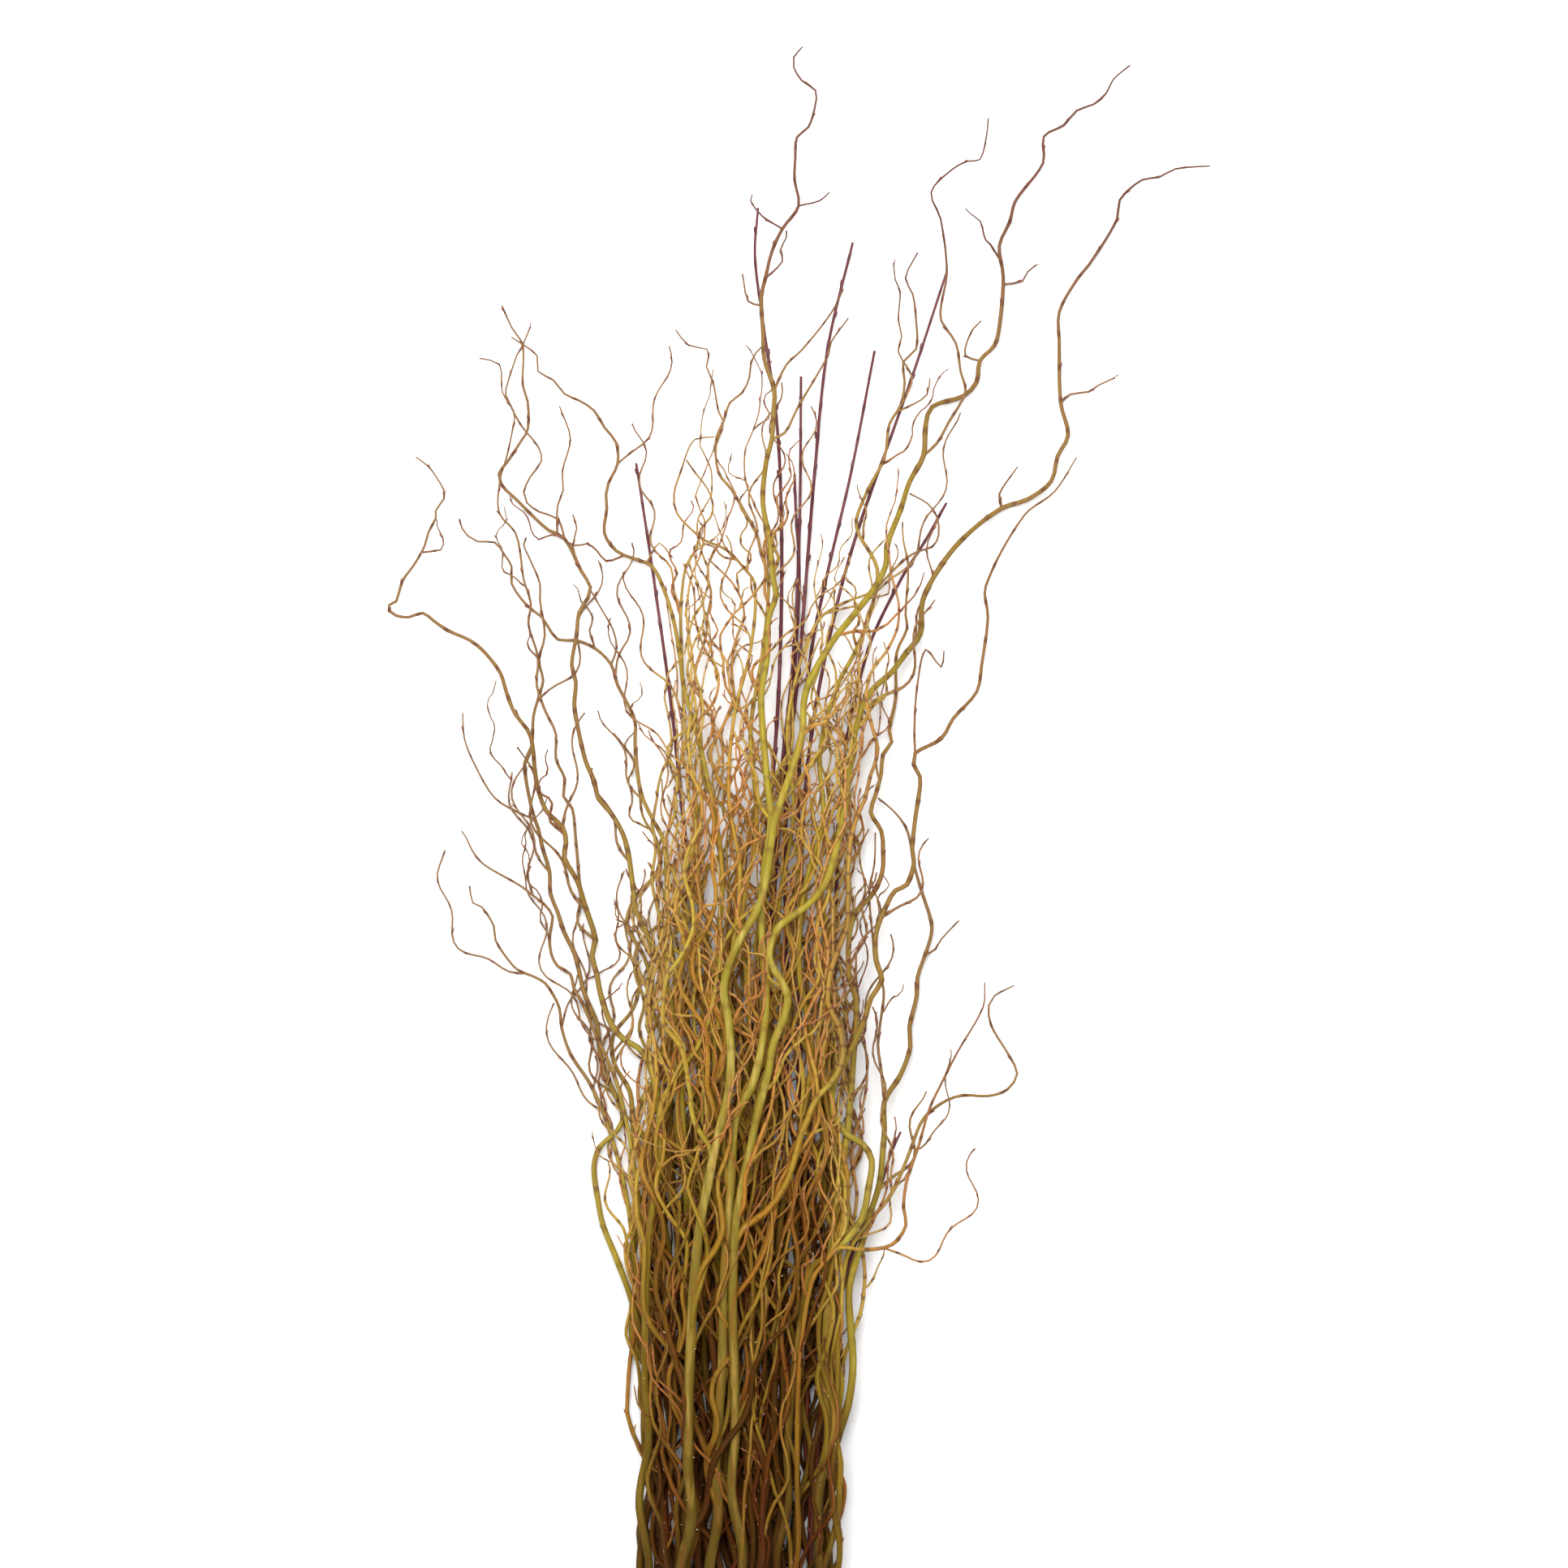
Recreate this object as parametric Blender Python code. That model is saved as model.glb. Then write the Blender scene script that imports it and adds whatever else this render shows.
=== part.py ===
"""A cut bunch of curly willow stems with a few straight red canes, laid down on a flat surface.

The bunch lies along Y, cut ends at -Y and tips at +Y, and is seen from above as in the photo.
Each stem is one solid with the branches that grow from it. The stems lie on each other, loose.
"""

import math
import random

import bmesh
import bpy
import numpy as np

# Driving sizes. Routes are in photo pixels, X to the right and Y down, and one pixel is 0.8 mm
PIXEL = 0.0008
MIDDLE_X = 966
PHOTO_BOTTOM = 1932
CUT_Y = 2074
CUT_SPREAD = 16
STEP = 10

# Thickness of the wood, in photo pixels across the stem
TWIG_END = 1.9
CANE_END = 3.0
TAPER = 0.8
BRANCH_SHARE = 0.58
FLAT_SHARE = 0.886

# How the stems lie, in metres
STEM_GAP = 0.0002
SLOPE_ROOM = 1.03
PLAN_ROOM = 0.9
TOP_CURL = 0.012
TOP_RISE = 0.10
RISE_SHARE = 0.4
FLAT_LAYERS = 9
SAG = 0.0006
SAG_ROUNDS = 160
TIP_FALL = 0.94
SETTLE_ROUNDS = 400

# How far the straight stretches of a solid may stray from the curly route, in photo pixels
STEM_STRAYS = 3.4
BRANCH_STRAYS = 4.5
SAMPLE_STEP = 1.5

# Stems that fill the thick of the bunch, in photo pixels
FILLERS = 22
FOOT_EDGES = (803, 1018)
FOOT_MIDDLE = 915
FAN_OUT = 0.45
TIP_ROWS = (640, 1120)
FOOT_ROW = 1960
WAVE_STEP = 34
FILLER_WIDTHS = (7.0, 12.0)

# Curls of the unseen foot and of the seeded branches
SWAY_STEP = 75
SWAY_TURN = 2.1
CURLY_SWAY = 9
CANE_SWAY = 3
BRANCHES_WANTED = 4
BRANCH_ZONE = (0.46, 0.90)
BRANCH_LENGTHS = (120, 260)
BARE_PAST = (560, 1105)
FULL_TURN = 2 * math.pi
SEED = 7

# Ground map, in photo pixels
MAP_LEFT, MAP_TOP = 400, 0
MAP_WIDE, MAP_HIGH = 1180, 2160

# Followed by eye on the photo, tip first. Each: place in the pile, butt X, butt width, route
CURLY = [
    (43, 884, 14.0, [
        (989, 55), (978, 68), (978, 80), (988, 97), (1005, 110), (1004, 131), (996, 155),
        (982, 167), (980, 192), (979, 220), (984, 253), (964, 282), (951, 310), (943, 343),
        (938, 367), (940, 408), (942, 445), (954, 482), (953, 510), (951, 543), (944, 571),
        (940, 620), (948, 664), (952, 710), (956, 735), (947, 763), (945, 811), (938, 857),
        (940, 900), (945, 960), (950, 1010), (942, 1070), (938, 1117), (940, 1172),
        (944, 1215), (941, 1272), (927, 1335), (907, 1375), (901, 1459), (893, 1560),
        (890, 1680), (882, 1800)]),
    (45, 842, 14.5, [
        (1393, 79), (1372, 97), (1364, 113), (1349, 126), (1328, 133), (1312, 151),
        (1287, 166), (1286, 199), (1252, 245), (1245, 271), (1232, 301), (1237, 339),
        (1233, 394), (1226, 424), (1208, 443), (1204, 469), (1188, 486), (1149, 500),
        (1141, 522), (1138, 561), (1121, 593), (1110, 627), (1093, 672), (1091, 698),
        (1075, 728), (1052, 758), (1025, 792), (997, 841), (990, 868), (989, 900),
        (975, 950), (955, 1010), (938, 1108), (907, 1166), (892, 1215), (898, 1255),
        (901, 1301), (898, 1344), (884, 1401), (872, 1459), (861, 1520), (852, 1640),
        (848, 1800)]),
    (44, 908, 13.5, [
        (1492, 203), (1449, 207), (1429, 217), (1408, 220), (1381, 244), (1378, 267),
        (1343, 324), (1329, 341), (1306, 383), (1306, 416), (1308, 494), (1317, 535),
        (1304, 561), (1296, 592), (1267, 614), (1235, 625), (1190, 660), (1160, 696),
        (1137, 740), (1134, 781), (1117, 804), (1098, 829), (1075, 850), (1057, 884),
        (1045, 960), (1040, 1000), (1020, 1080), (1000, 1110), (958, 1143), (948, 1170),
        (950, 1186), (970, 1223), (967, 1249), (953, 1284), (947, 1318), (935, 1364),
        (924, 1416), (915, 1459), (907, 1502), (903, 1600), (906, 1760)]),
    (37, 962, 11.0, [
        (1327, 563), (1300, 605), (1262, 635), (1215, 722), (1218, 760), (1210, 820),
        (1204, 852), (1175, 885), (1160, 910), (1128, 928), (1126, 942), (1134, 957),
        (1133, 976), (1128, 1008), (1124, 1047), (1126, 1063), (1117, 1090), (1103, 1097),
        (1094, 1111), (1079, 1150), (1079, 1182), (1086, 1207), (1073, 1228), (1063, 1260),
        (1041, 1308), (1027, 1337), (1027, 1371), (1043, 1397), (1063, 1409), (1074, 1429),
        (1070, 1463), (1063, 1497), (1048, 1521), (1024, 1545), (1000, 1562), (985, 1640),
        (970, 1780)]),
    (35, 1010, 12.0, [
        (1112, 643), (1113, 666), (1119, 696), (1116, 758), (1118, 774), (1105, 804),
        (1104, 861), (1096, 900), (1099, 914), (1088, 930), (1086, 953), (1079, 980),
        (1073, 1001), (1086, 1024), (1088, 1047), (1087, 1074), (1076, 1100), (1056, 1123),
        (1047, 1148), (1046, 1203), (1054, 1228), (1055, 1260), (1052, 1296), (1048, 1354),
        (1043, 1405), (1037, 1434), (1031, 1477), (1022, 1560), (1016, 1700)]),
    (31, 1001, 12.5, [
        (1082, 983), (1101, 999), (1116, 1018), (1122, 1038), (1126, 1063), (1135, 1095),
        (1148, 1136), (1148, 1152), (1140, 1178), (1131, 1205), (1130, 1228), (1121, 1267),
        (1122, 1291), (1110, 1325), (1090, 1358), (1090, 1390), (1088, 1419), (1084, 1458),
        (1073, 1494), (1064, 1526), (1051, 1567), (1046, 1595), (1048, 1635), (1051, 1680),
        (1046, 1726), (1030, 1780), (1025, 1815), (1021, 1857), (1011, 1895)]),
    (38, 798, 11.0, [
        (511, 562), (527, 574), (536, 586), (547, 605), (546, 614), (536, 629), (536, 638),
        (527, 655), (522, 672), (509, 695), (494, 716), (487, 740), (478, 745), (478, 752),
        (487, 758), (503, 760), (520, 755), (533, 764), (550, 776), (579, 789), (596, 803),
        (616, 829), (624, 853), (635, 880), (650, 899), (656, 917), (659, 951), (664, 978),
        (673, 1000), (693, 1020), (697, 1039), (695, 1057), (711, 1086), (722, 1122),
        (730, 1145), (733, 1159), (729, 1178), (735, 1201), (740, 1226), (753, 1262),
        (767, 1279), (793, 1298), (812, 1360), (812, 1440), (800, 1520), (795, 1700)]),
    (27, 852, 10.5, [
        (617, 374), (629, 401), (643, 424), (643, 473), (649, 493), (649, 527), (641, 541),
        (624, 567), (613, 582), (616, 595), (636, 615), (659, 638), (675, 652), (695, 663),
        (715, 702), (727, 723), (724, 736), (713, 754), (710, 782), (704, 819), (709, 840),
        (707, 868), (710, 889), (721, 937), (732, 963), (737, 984), (752, 1001),
        (767, 1027), (774, 1052), (781, 1103), (784, 1124), (795, 1145), (802, 1165),
        (818, 1203), (826, 1230), (838, 1330), (846, 1480), (848, 1700)]),
    (29, 884, 10.5, [
        (629, 414), (661, 437), (662, 456), (681, 467), (695, 484), (713, 492), (731, 504),
        (744, 525), (758, 543), (760, 570), (749, 594), (746, 608), (747, 626), (744, 656),
        (759, 678), (779, 687), (803, 697), (821, 735), (831, 770), (838, 811), (842, 845),
        (853, 884), (865, 930), (880, 1000), (890, 1080), (884, 1200), (893, 1330),
        (884, 1480), (888, 1700)]),
    (22, 832, 9.5, [
        (564, 638), (568, 650), (575, 659), (587, 666), (608, 667), (620, 682), (629, 697),
        (629, 718), (649, 746), (666, 759), (686, 787), (708, 788), (732, 798), (752, 818),
        (760, 843), (772, 866), (782, 889), (782, 917), (789, 976), (802, 1006),
        (818, 1039), (822, 1120), (833, 1230), (826, 1380), (836, 1560)]),
    (18, 792, 9.5, [
        (647, 661), (644, 670), (650, 684), (664, 718), (664, 738), (670, 782), (663, 812),
        (668, 838), (664, 853), (656, 882), (654, 919), (645, 940), (654, 998), (662, 1021),
        (667, 1044), (676, 1075), (677, 1101), (686, 1124), (694, 1149), (707, 1176),
        (719, 1224), (735, 1264), (739, 1300), (752, 1340), (768, 1372), (760, 1394),
        (738, 1415), (731, 1440), (736, 1480), (742, 1510), (758, 1550), (775, 1595),
        (790, 1650), (797, 1720), (800, 1800), (803, 1830), (796, 1868)]),
    (25, 815, 8.5, [
        (568, 1024), (574, 1033), (580, 1047), (591, 1062), (605, 1072), (625, 1083),
        (642, 1093), (656, 1104), (670, 1115), (680, 1130), (676, 1153), (678, 1176),
        (686, 1191), (702, 1201), (706, 1218), (717, 1237), (734, 1277), (758, 1330),
        (775, 1400), (790, 1500), (806, 1640)]),
    (12, 806, 8.0, [
        (577, 1092), (581, 1113), (592, 1118), (607, 1142), (609, 1159), (626, 1185),
        (637, 1196), (656, 1204), (670, 1212), (680, 1226), (688, 1243), (691, 1268),
        (702, 1300), (728, 1340), (752, 1400), (772, 1480), (786, 1600), (803, 1760)]),
    (40, 976, 8.0, [
        (1213, 1210), (1211, 1240), (1180, 1295), (1162, 1330), (1145, 1366), (1132, 1410),
        (1121, 1441), (1116, 1458), (1113, 1487), (1116, 1509), (1099, 1533), (1065, 1539),
        (1034, 1536), (1019, 1550), (1000, 1577), (985, 1680), (982, 1820)]),
    (36, 1022, 8.0, [
        (1250, 1215), (1226, 1228), (1219, 1240), (1222, 1264), (1245, 1303), (1254, 1324),
        (1242, 1343), (1218, 1351), (1187, 1350), (1167, 1356), (1145, 1371), (1134, 1385),
        (1121, 1419), (1104, 1460), (1092, 1480), (1073, 1502), (1053, 1528), (1043, 1550),
        (1034, 1620), (1030, 1760)]),
    (24, 921, 9.5, [
        (939, 425), (931, 433), (925, 445), (923, 463), (914, 482), (899, 494), (891, 518),
        (882, 538), (885, 581), (901, 602), (917, 629), (932, 657), (938, 682), (947, 714),
        (940, 800), (925, 900), (932, 1020), (915, 1130), (923, 1260), (914, 1420),
        (924, 1600)]),
    (33, 902, 9.0, [
        (880, 538), (856, 541), (847, 555), (841, 573), (830, 608), (834, 632), (855, 655),
        (869, 666), (887, 673), (901, 682), (915, 698), (930, 719), (925, 800), (905, 880),
        (898, 980), (912, 1080), (898, 1200), (880, 1300), (892, 1450), (896, 1650)]),
    (20, 872, 9.5, [
        (845, 565), (857, 582), (871, 600), (878, 620), (875, 636), (863, 650), (858, 673),
        (845, 696), (840, 724), (838, 758), (839, 792), (841, 838), (844, 900), (858, 1000),
        (852, 1120), (866, 1250), (858, 1400), (868, 1600)]),
    (28, 951, 10.5, [
        (1131, 310), (1116, 341), (1125, 361), (1129, 392), (1129, 429), (1113, 445),
        (1115, 469), (1110, 498), (1096, 522), (1090, 563), (1071, 600), (1055, 640),
        (1059, 659), (1073, 682), (1081, 701), (1079, 730), (1060, 790), (1030, 850),
        (1010, 930), (1014, 1010), (990, 1100), (985, 1200), (1000, 1290), (985, 1400),
        (962, 1500), (958, 1650)]),
    (23, 937, 9.0, [
        (1121, 607), (1144, 620), (1155, 636), (1157, 659), (1149, 673), (1133, 678),
        (1117, 687), (1098, 705), (1075, 728), (1041, 742), (1009, 763), (985, 820),
        (970, 900), (978, 1000), (962, 1100), (945, 1230), (952, 1350), (938, 1500),
        (942, 1680)]),
]

# Straight red canes, tip first: place in the pile, butt X, butt width, route
CANES = [
    (3, 902, 7.0, [(783, 569), (803, 700), (828, 882), (850, 1100), (865, 1250)]),
    (14, 928, 7.0, [
        (934, 254), (930, 312), (938, 381), (957, 518), (963, 655), (961, 815), (952, 960),
        (934, 1140)]),
    (6, 946, 6.5, [(987, 462), (985, 655), (977, 815), (962, 960), (950, 1140)]),
    (10, 962, 7.0, [
        (1051, 296), (1020, 427), (1004, 580), (985, 815), (970, 960), (968, 1160)]),
    (8, 981, 6.5, [
        (1078, 430), (1049, 580), (1018, 712), (1000, 800), (985, 940), (985, 1180)]),
    (5, 916, 6.0, [
        (979, 583), (981, 640), (985, 700), (981, 800), (972, 900), (960, 1020), (942, 1300)]),
    (16, 999, 7.0, [
        (1167, 333), (1129, 449), (1096, 543), (1058, 650), (1032, 742), (1003, 884),
        (990, 1010), (985, 1200)]),
    (11, 1014, 6.5, [
        (1167, 618), (1140, 666), (1110, 714), (1070, 800), (1040, 940), (1028, 1200)]),
    (23.5, 998, 6.5, [
        (1110, 1395), (1097, 1424), (1086, 1460), (1068, 1500), (1045, 1560), (1026, 1640),
        (1012, 1740), (1002, 1855)]),
]

# Branches followed by eye, tip first, each grown from the stem at this place in the pile
BRANCHES = [
    (45, [
        (1217, 148), (1215, 169), (1207, 198), (1192, 200), (1173, 210), (1147, 238),
        (1159, 270), (1167, 335), (1160, 375), (1160, 394), (1178, 422), (1184, 457),
        (1190, 482), (1169, 520), (1155, 545), (1138, 563)]),
    (45, [(1278, 324), (1267, 333), (1261, 344), (1237, 352)]),
    (45, [(1209, 395), (1200, 404), (1192, 420), (1190, 437), (1208, 443)]),
    (44, [(1375, 464), (1355, 473), (1343, 481), (1320, 484), (1308, 492)]),
    (44, [(1254, 575), (1236, 600), (1232, 608), (1233, 625)]),
    (43, [(1022, 238), (1010, 248), (984, 255)]),
    (43, [(927, 242), (925, 249), (939, 267), (963, 282)]),
    (43, [(969, 284), (969, 292), (962, 307), (964, 322), (945, 343)]),
    (43, [(1039, 359), (1024, 388), (988, 433), (969, 451), (954, 482)]),
    (43, [(1045, 396), (1024, 425), (1020, 441), (982, 506), (967, 535), (951, 543)]),
    (43, [(915, 338), (922, 372), (936, 380)]),
    (38, [
        (592, 443), (616, 450), (619, 483), (633, 506), (634, 516), (624, 562), (616, 587),
        (614, 631), (634, 655), (640, 679), (644, 712), (653, 743), (650, 768), (662, 810),
        (660, 843), (671, 876), (684, 904), (684, 935), (695, 960), (693, 981), (704, 996),
        (708, 1029), (713, 1086), (715, 1107), (711, 1138), (733, 1159)]),
    (27, [
        (653, 401), (643, 424), (636, 436), (622, 478), (622, 485), (640, 521), (662, 549),
        (666, 566), (652, 586), (644, 605), (648, 618), (663, 629), (686, 638), (695, 656)]),
    (27, [(689, 500), (702, 539), (692, 580), (693, 603), (686, 622), (692, 655)]),
    (27, [(705, 633), (710, 650), (705, 672), (712, 700)]),
    (29, [(827, 686), (812, 668), (800, 690)]),
    (22, [(728, 728), (741, 751), (754, 774), (759, 797), (754, 820)]),
    (18, [(569, 878), (571, 910), (585, 945), (608, 983), (635, 1000), (656, 1010)]),
    (31, [
        (1078, 1026), (1077, 1065), (1071, 1095), (1075, 1152), (1079, 1182), (1089, 1221),
        (1085, 1260), (1082, 1288), (1086, 1320), (1090, 1362)]),
    (31, [(1182, 1134), (1160, 1158), (1153, 1170), (1142, 1174)]),
    (37, [(1163, 802), (1160, 822), (1141, 800), (1130, 850), (1127, 900), (1128, 928)]),
    (24, [
        (832, 405), (848, 424), (871, 429), (873, 438), (870, 450), (878, 468), (885, 505),
        (891, 518), (886, 545)]),
    (28, [
        (1101, 324), (1103, 345), (1109, 359), (1107, 394), (1111, 414), (1107, 433),
        (1124, 463), (1120, 480), (1104, 508)]),
    (28, [(1146, 465), (1142, 486), (1120, 500), (1106, 505)]),
]


def smoothed(points, step):
    """A curve through the points, with a point about every step."""
    points = np.array(points, float)
    lengths = np.linalg.norm(np.diff(points, axis=0), axis=1)
    slopes = np.empty_like(points)
    slopes[0] = (points[1] - points[0]) / lengths[0]
    slopes[-1] = (points[-1] - points[-2]) / lengths[-1]
    slopes[1:-1] = (points[2:] - points[:-2]) / (lengths[1:] + lengths[:-1])[:, None]
    stretches = []
    for k, length in enumerate(lengths):
        count = max(1, round(length / step))
        t = (np.arange(count) / count)[:, None]
        near, far = slopes[k] * length, slopes[k + 1] * length
        stretches.append(
            (2 * t**3 - 3 * t**2 + 1) * points[k]
            + (t**3 - 2 * t**2 + t) * near
            + (3 * t**2 - 2 * t**3) * points[k + 1]
            + (t**3 - t**2) * far
        )
    stretches.append(points[-1:])
    return np.concatenate(stretches)


def distances(route):
    """How far each point is along the route."""
    return np.concatenate([[0.0], np.cumsum(np.linalg.norm(np.diff(route, axis=0), axis=1))])


def thinned(route, strays, kept):
    """The numbers of the points that keep a polyline within a distance of the route."""
    marks = sorted({0, len(route) - 1, *kept})
    chosen = set(marks)
    spans = list(zip(marks, marks[1:]))
    while spans:
        first, last = spans.pop()
        if last - first < 2:
            continue
        chord = route[last] - route[first]
        inside = route[first + 1 : last] - route[first]
        off = np.abs(inside[:, 0] * chord[1] - inside[:, 1] * chord[0])
        off /= max(np.hypot(chord[0], chord[1]), 1e-9)
        if off.max() > strays:
            middle = first + 1 + int(off.argmax())
            chosen.add(middle)
            spans += [(first, middle), (middle, last)]
    return sorted(chosen)


def down_to_cut(traced, butt_x, draw, wave):
    """A traced route carried on to its cut end, cut end first."""
    x, y = traced[-1]
    cut_y = CUT_Y + draw.uniform(-CUT_SPREAD, CUT_SPREAD)
    count = max(1, round((cut_y - y) / SWAY_STEP))
    turn = draw.uniform(0, FULL_TURN)
    lower = []
    for k in range(1, count + 1):
        share = k / count
        eased = share * share * (3 - 2 * share)
        sway = wave * math.sin(turn + SWAY_TURN * k) * math.sin(math.pi * share)
        lower.append((x + (butt_x - x) * eased + sway, y + (cut_y - y) * share))
    return smoothed([*traced, *lower][::-1], STEP)


def filler_route(number, draw):
    """A curly stem in the thick of the bunch, tip first."""
    left, right = FOOT_EDGES
    butt_x = left + (right - left) * (number + 0.5) / FILLERS + draw.uniform(-8, 8)
    tip_x = butt_x + FAN_OUT * (butt_x - FOOT_MIDDLE) + draw.uniform(-45, 45)
    tip_y = draw.uniform(*TIP_ROWS)
    long_wave, short_wave = draw.uniform(230, 330), draw.uniform(95, 150)
    long_turn, short_turn = draw.uniform(0, FULL_TURN), draw.uniform(0, FULL_TURN)
    route = []
    count = round((FOOT_ROW - tip_y) / WAVE_STEP)
    for k in range(count + 1):
        share = k / count
        y = tip_y + (FOOT_ROW - tip_y) * share
        x = tip_x + (butt_x - tip_x) * share**0.7
        x += (9 + 10 * (1 - share)) * math.sin(long_turn + FULL_TURN * y / long_wave)
        x += (3 + 9 * (1 - share)) * math.sin(short_turn + FULL_TURN * y / short_wave)
        route.append((x, y))
    return butt_x, draw.uniform(*FILLER_WIDTHS), route


def branch_route(route, root, side, length, draw):
    """A curly branch that leaves the stem at a point, root first."""
    ahead = route[min(root + 3, len(route) - 1)] - route[max(root - 3, 0)]
    heading = math.atan2(ahead[1], ahead[0])
    spread = math.radians(draw.uniform(24, 42)) * side
    swing = math.radians(draw.uniform(22, 36))
    wave = draw.uniform(75, 125)
    turn = draw.uniform(-0.6, 0.6)
    upward = -math.pi / 2 + math.radians(draw.uniform(2, 14)) * side
    points = [route[root].copy()]
    for k in range(round(length / STEP)):
        gone = k * STEP
        share = gone / length
        lean = heading + spread
        lean += (upward - lean) * min(1.0, 1.5 * share)
        lean += swing * min(1.0, gone / 40) * math.sin(turn + FULL_TURN * gone / wave)
        points.append(points[-1] + STEP * np.array([math.cos(lean), math.sin(lean)]))
    return np.array(points)


def stem_shapes():
    """Every stem from the bottom of the pile up: its name, routes and widths in pixels."""
    stems = []
    for place, butt_x, width, traced in CURLY:
        stems.append((place, "curly_stem", butt_x, width, traced))
    for place, butt_x, width, traced in CANES:
        stems.append((place, "straight_cane", butt_x, width, traced))
    for number in range(FILLERS):
        draw = random.Random(SEED + 100 + number)
        place = 0.5 + 42 / FILLERS * ((number * 5) % FILLERS)
        stems.append((place, "curly_stem", *filler_route(number, draw)))
    stems.sort()
    shapes = []
    counts = {}
    for place, kind, butt_x, width, traced in stems:
        draw = random.Random(SEED + round(10 * place))
        counts[kind] = counts.get(kind, 0) + 1
        straight = kind == "straight_cane"
        route = down_to_cut(traced, butt_x, draw, CANE_SWAY if straight else CURLY_SWAY)
        branches = []
        for path in [path for home, path in BRANCHES if home == place]:
            root = int(np.hypot(*(route - np.array(path[-1])).T).argmin())
            followed = smoothed([*path[:-1], tuple(route[root])][::-1], STEP)
            branches.append((root, followed))
        wanted = 0 if straight else max(1, BRANCHES_WANTED - len(branches))
        for k in range(wanted):
            low, high = BRANCH_ZONE
            share = low + (high - low) * (k + draw.uniform(0.1, 0.9)) / wanted
            root = round(share * (len(route) - 1))
            side = 1 if (k + len(shapes)) % 2 else -1
            length = draw.uniform(*BRANCH_LENGTHS)
            grown = branch_route(route, root, side, length, draw)
            if BARE_PAST[0] < route[root][0] < BARE_PAST[1]:
                branches.append((root, grown))
        shapes.append({
            "name": f"{kind}_{counts[kind]:02d}",
            "place": place,
            "straight": straight,
            "width": width,
            "route": route,
            "branches": branches,
        })
    return shapes


def stem_radii(route, width, tip):
    """Half the thickness at each point of a route that starts at its thick end."""
    along = distances(route)
    left = 1 - along / along[-1]
    return tip / 2 + (width - tip) / 2 * left**TAPER


def tree_of(shape, layers):
    """The stem and its branches as points, joined in pairs, for laying and for the solid."""
    tip = CANE_END if shape["straight"] else TWIG_END
    route = shape["route"]
    radii = stem_radii(route, shape["width"], tip)
    roots = [root for root, _ in shape["branches"]]
    picked = thinned(route, STEM_STRAYS, roots)
    runs = [[picked.index(k) for k in picked]]
    points = [route[k] for k in picked]
    sizes = [radii[k] for k in picked]
    for root, path in shape["branches"]:
        width = 2 * BRANCH_SHARE * radii[root]
        thin = stem_radii(path, max(width, TWIG_END + 0.6), TWIG_END)
        chosen = thinned(path, BRANCH_STRAYS, [])
        run = [picked.index(root)]
        for k in chosen[1:]:
            run.append(len(points))
            points.append(path[k])
            sizes.append(thin[k])
        runs.append(run)
        shape.setdefault("branch_sizes", []).append(thin[chosen[0]])
    shape["runs"] = runs
    shape["points"] = np.array(points)
    shape["halves"] = FLAT_SHARE * np.array(sizes) * PIXEL
    lift = max(0.0, (shape["order"] - FLAT_LAYERS) / (layers - FLAT_LAYERS))
    draw = random.Random(SEED + 500 + shape["order"])
    shape["curl"] = curls(shape, lift, draw)


def curls(shape, lift, draw):
    """How far each point of a loose stem stands off a straight lie."""
    curl = np.zeros(len(shape["points"]))
    for number, run in enumerate(shape["runs"]):
        path = shape["points"][run]
        along = distances(path)
        wave, turn = draw.uniform(130, 240), draw.uniform(0, FULL_TURN)
        rise = draw.uniform(0.2, 1.0) * min(TOP_RISE, RISE_SHARE * PIXEL * along[-1])
        rise *= 0.35 if shape["straight"] else 1.0
        high = lift * TOP_CURL * (0.1 if shape["straight"] else 1.0)
        share = along / along[-1]
        swing = high * (1 + np.sin(turn + FULL_TURN * along / wave)) * (0.25 + 0.75 * share)
        swing += lift * rise * share**2
        start = curl[run[0]] if number else 0.0
        curl[run] = start + swing - swing[0]
    return curl - min(curl.min(), 0.0)


def disc(radius):
    """Whole-pixel steps to every cell within a radius."""
    reach = math.ceil(radius)
    across, down = np.mgrid[-reach : reach + 1, -reach : reach + 1]
    inside = across**2 + down**2 <= radius * radius
    return across[inside], down[inside]


def sampled(shape):
    """Places along every run: the two points they lie between, the share, and the plan."""
    starts, ends, shares = [], [], []
    for run in shape["runs"]:
        for near, far in zip(run, run[1:]):
            span = np.hypot(*(shape["points"][far] - shape["points"][near]))
            count = max(2, math.ceil(span / SAMPLE_STEP))
            starts += [near] * (count + 1)
            ends += [far] * (count + 1)
            shares += list(np.arange(count + 1) / count)
    starts, ends, shares = np.array(starts), np.array(ends), np.array(shares)
    plan = (1 - shares)[:, None] * shape["points"][starts] + shares[:, None] * shape["points"][ends]
    halves = (1 - shares) * shape["halves"][starts] + shares * shape["halves"][ends]
    return starts, ends, shares, plan, halves


def over_cells(plan, halves, act):
    """Calls act with the map cells round each place, in groups of like thickness."""
    columns = np.round(plan[:, 0]).astype(int) - MAP_LEFT
    rows = np.round(plan[:, 1]).astype(int) - MAP_TOP
    sizes = np.ceil(2 * halves / PIXEL).astype(int)
    for size in sorted(set(sizes.tolist())):
        here = np.nonzero(sizes == size)[0]
        across, down = disc(size / 2 + PLAN_ROOM)
        act(here, columns[here][:, None] + across, rows[here][:, None] + down)


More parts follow.
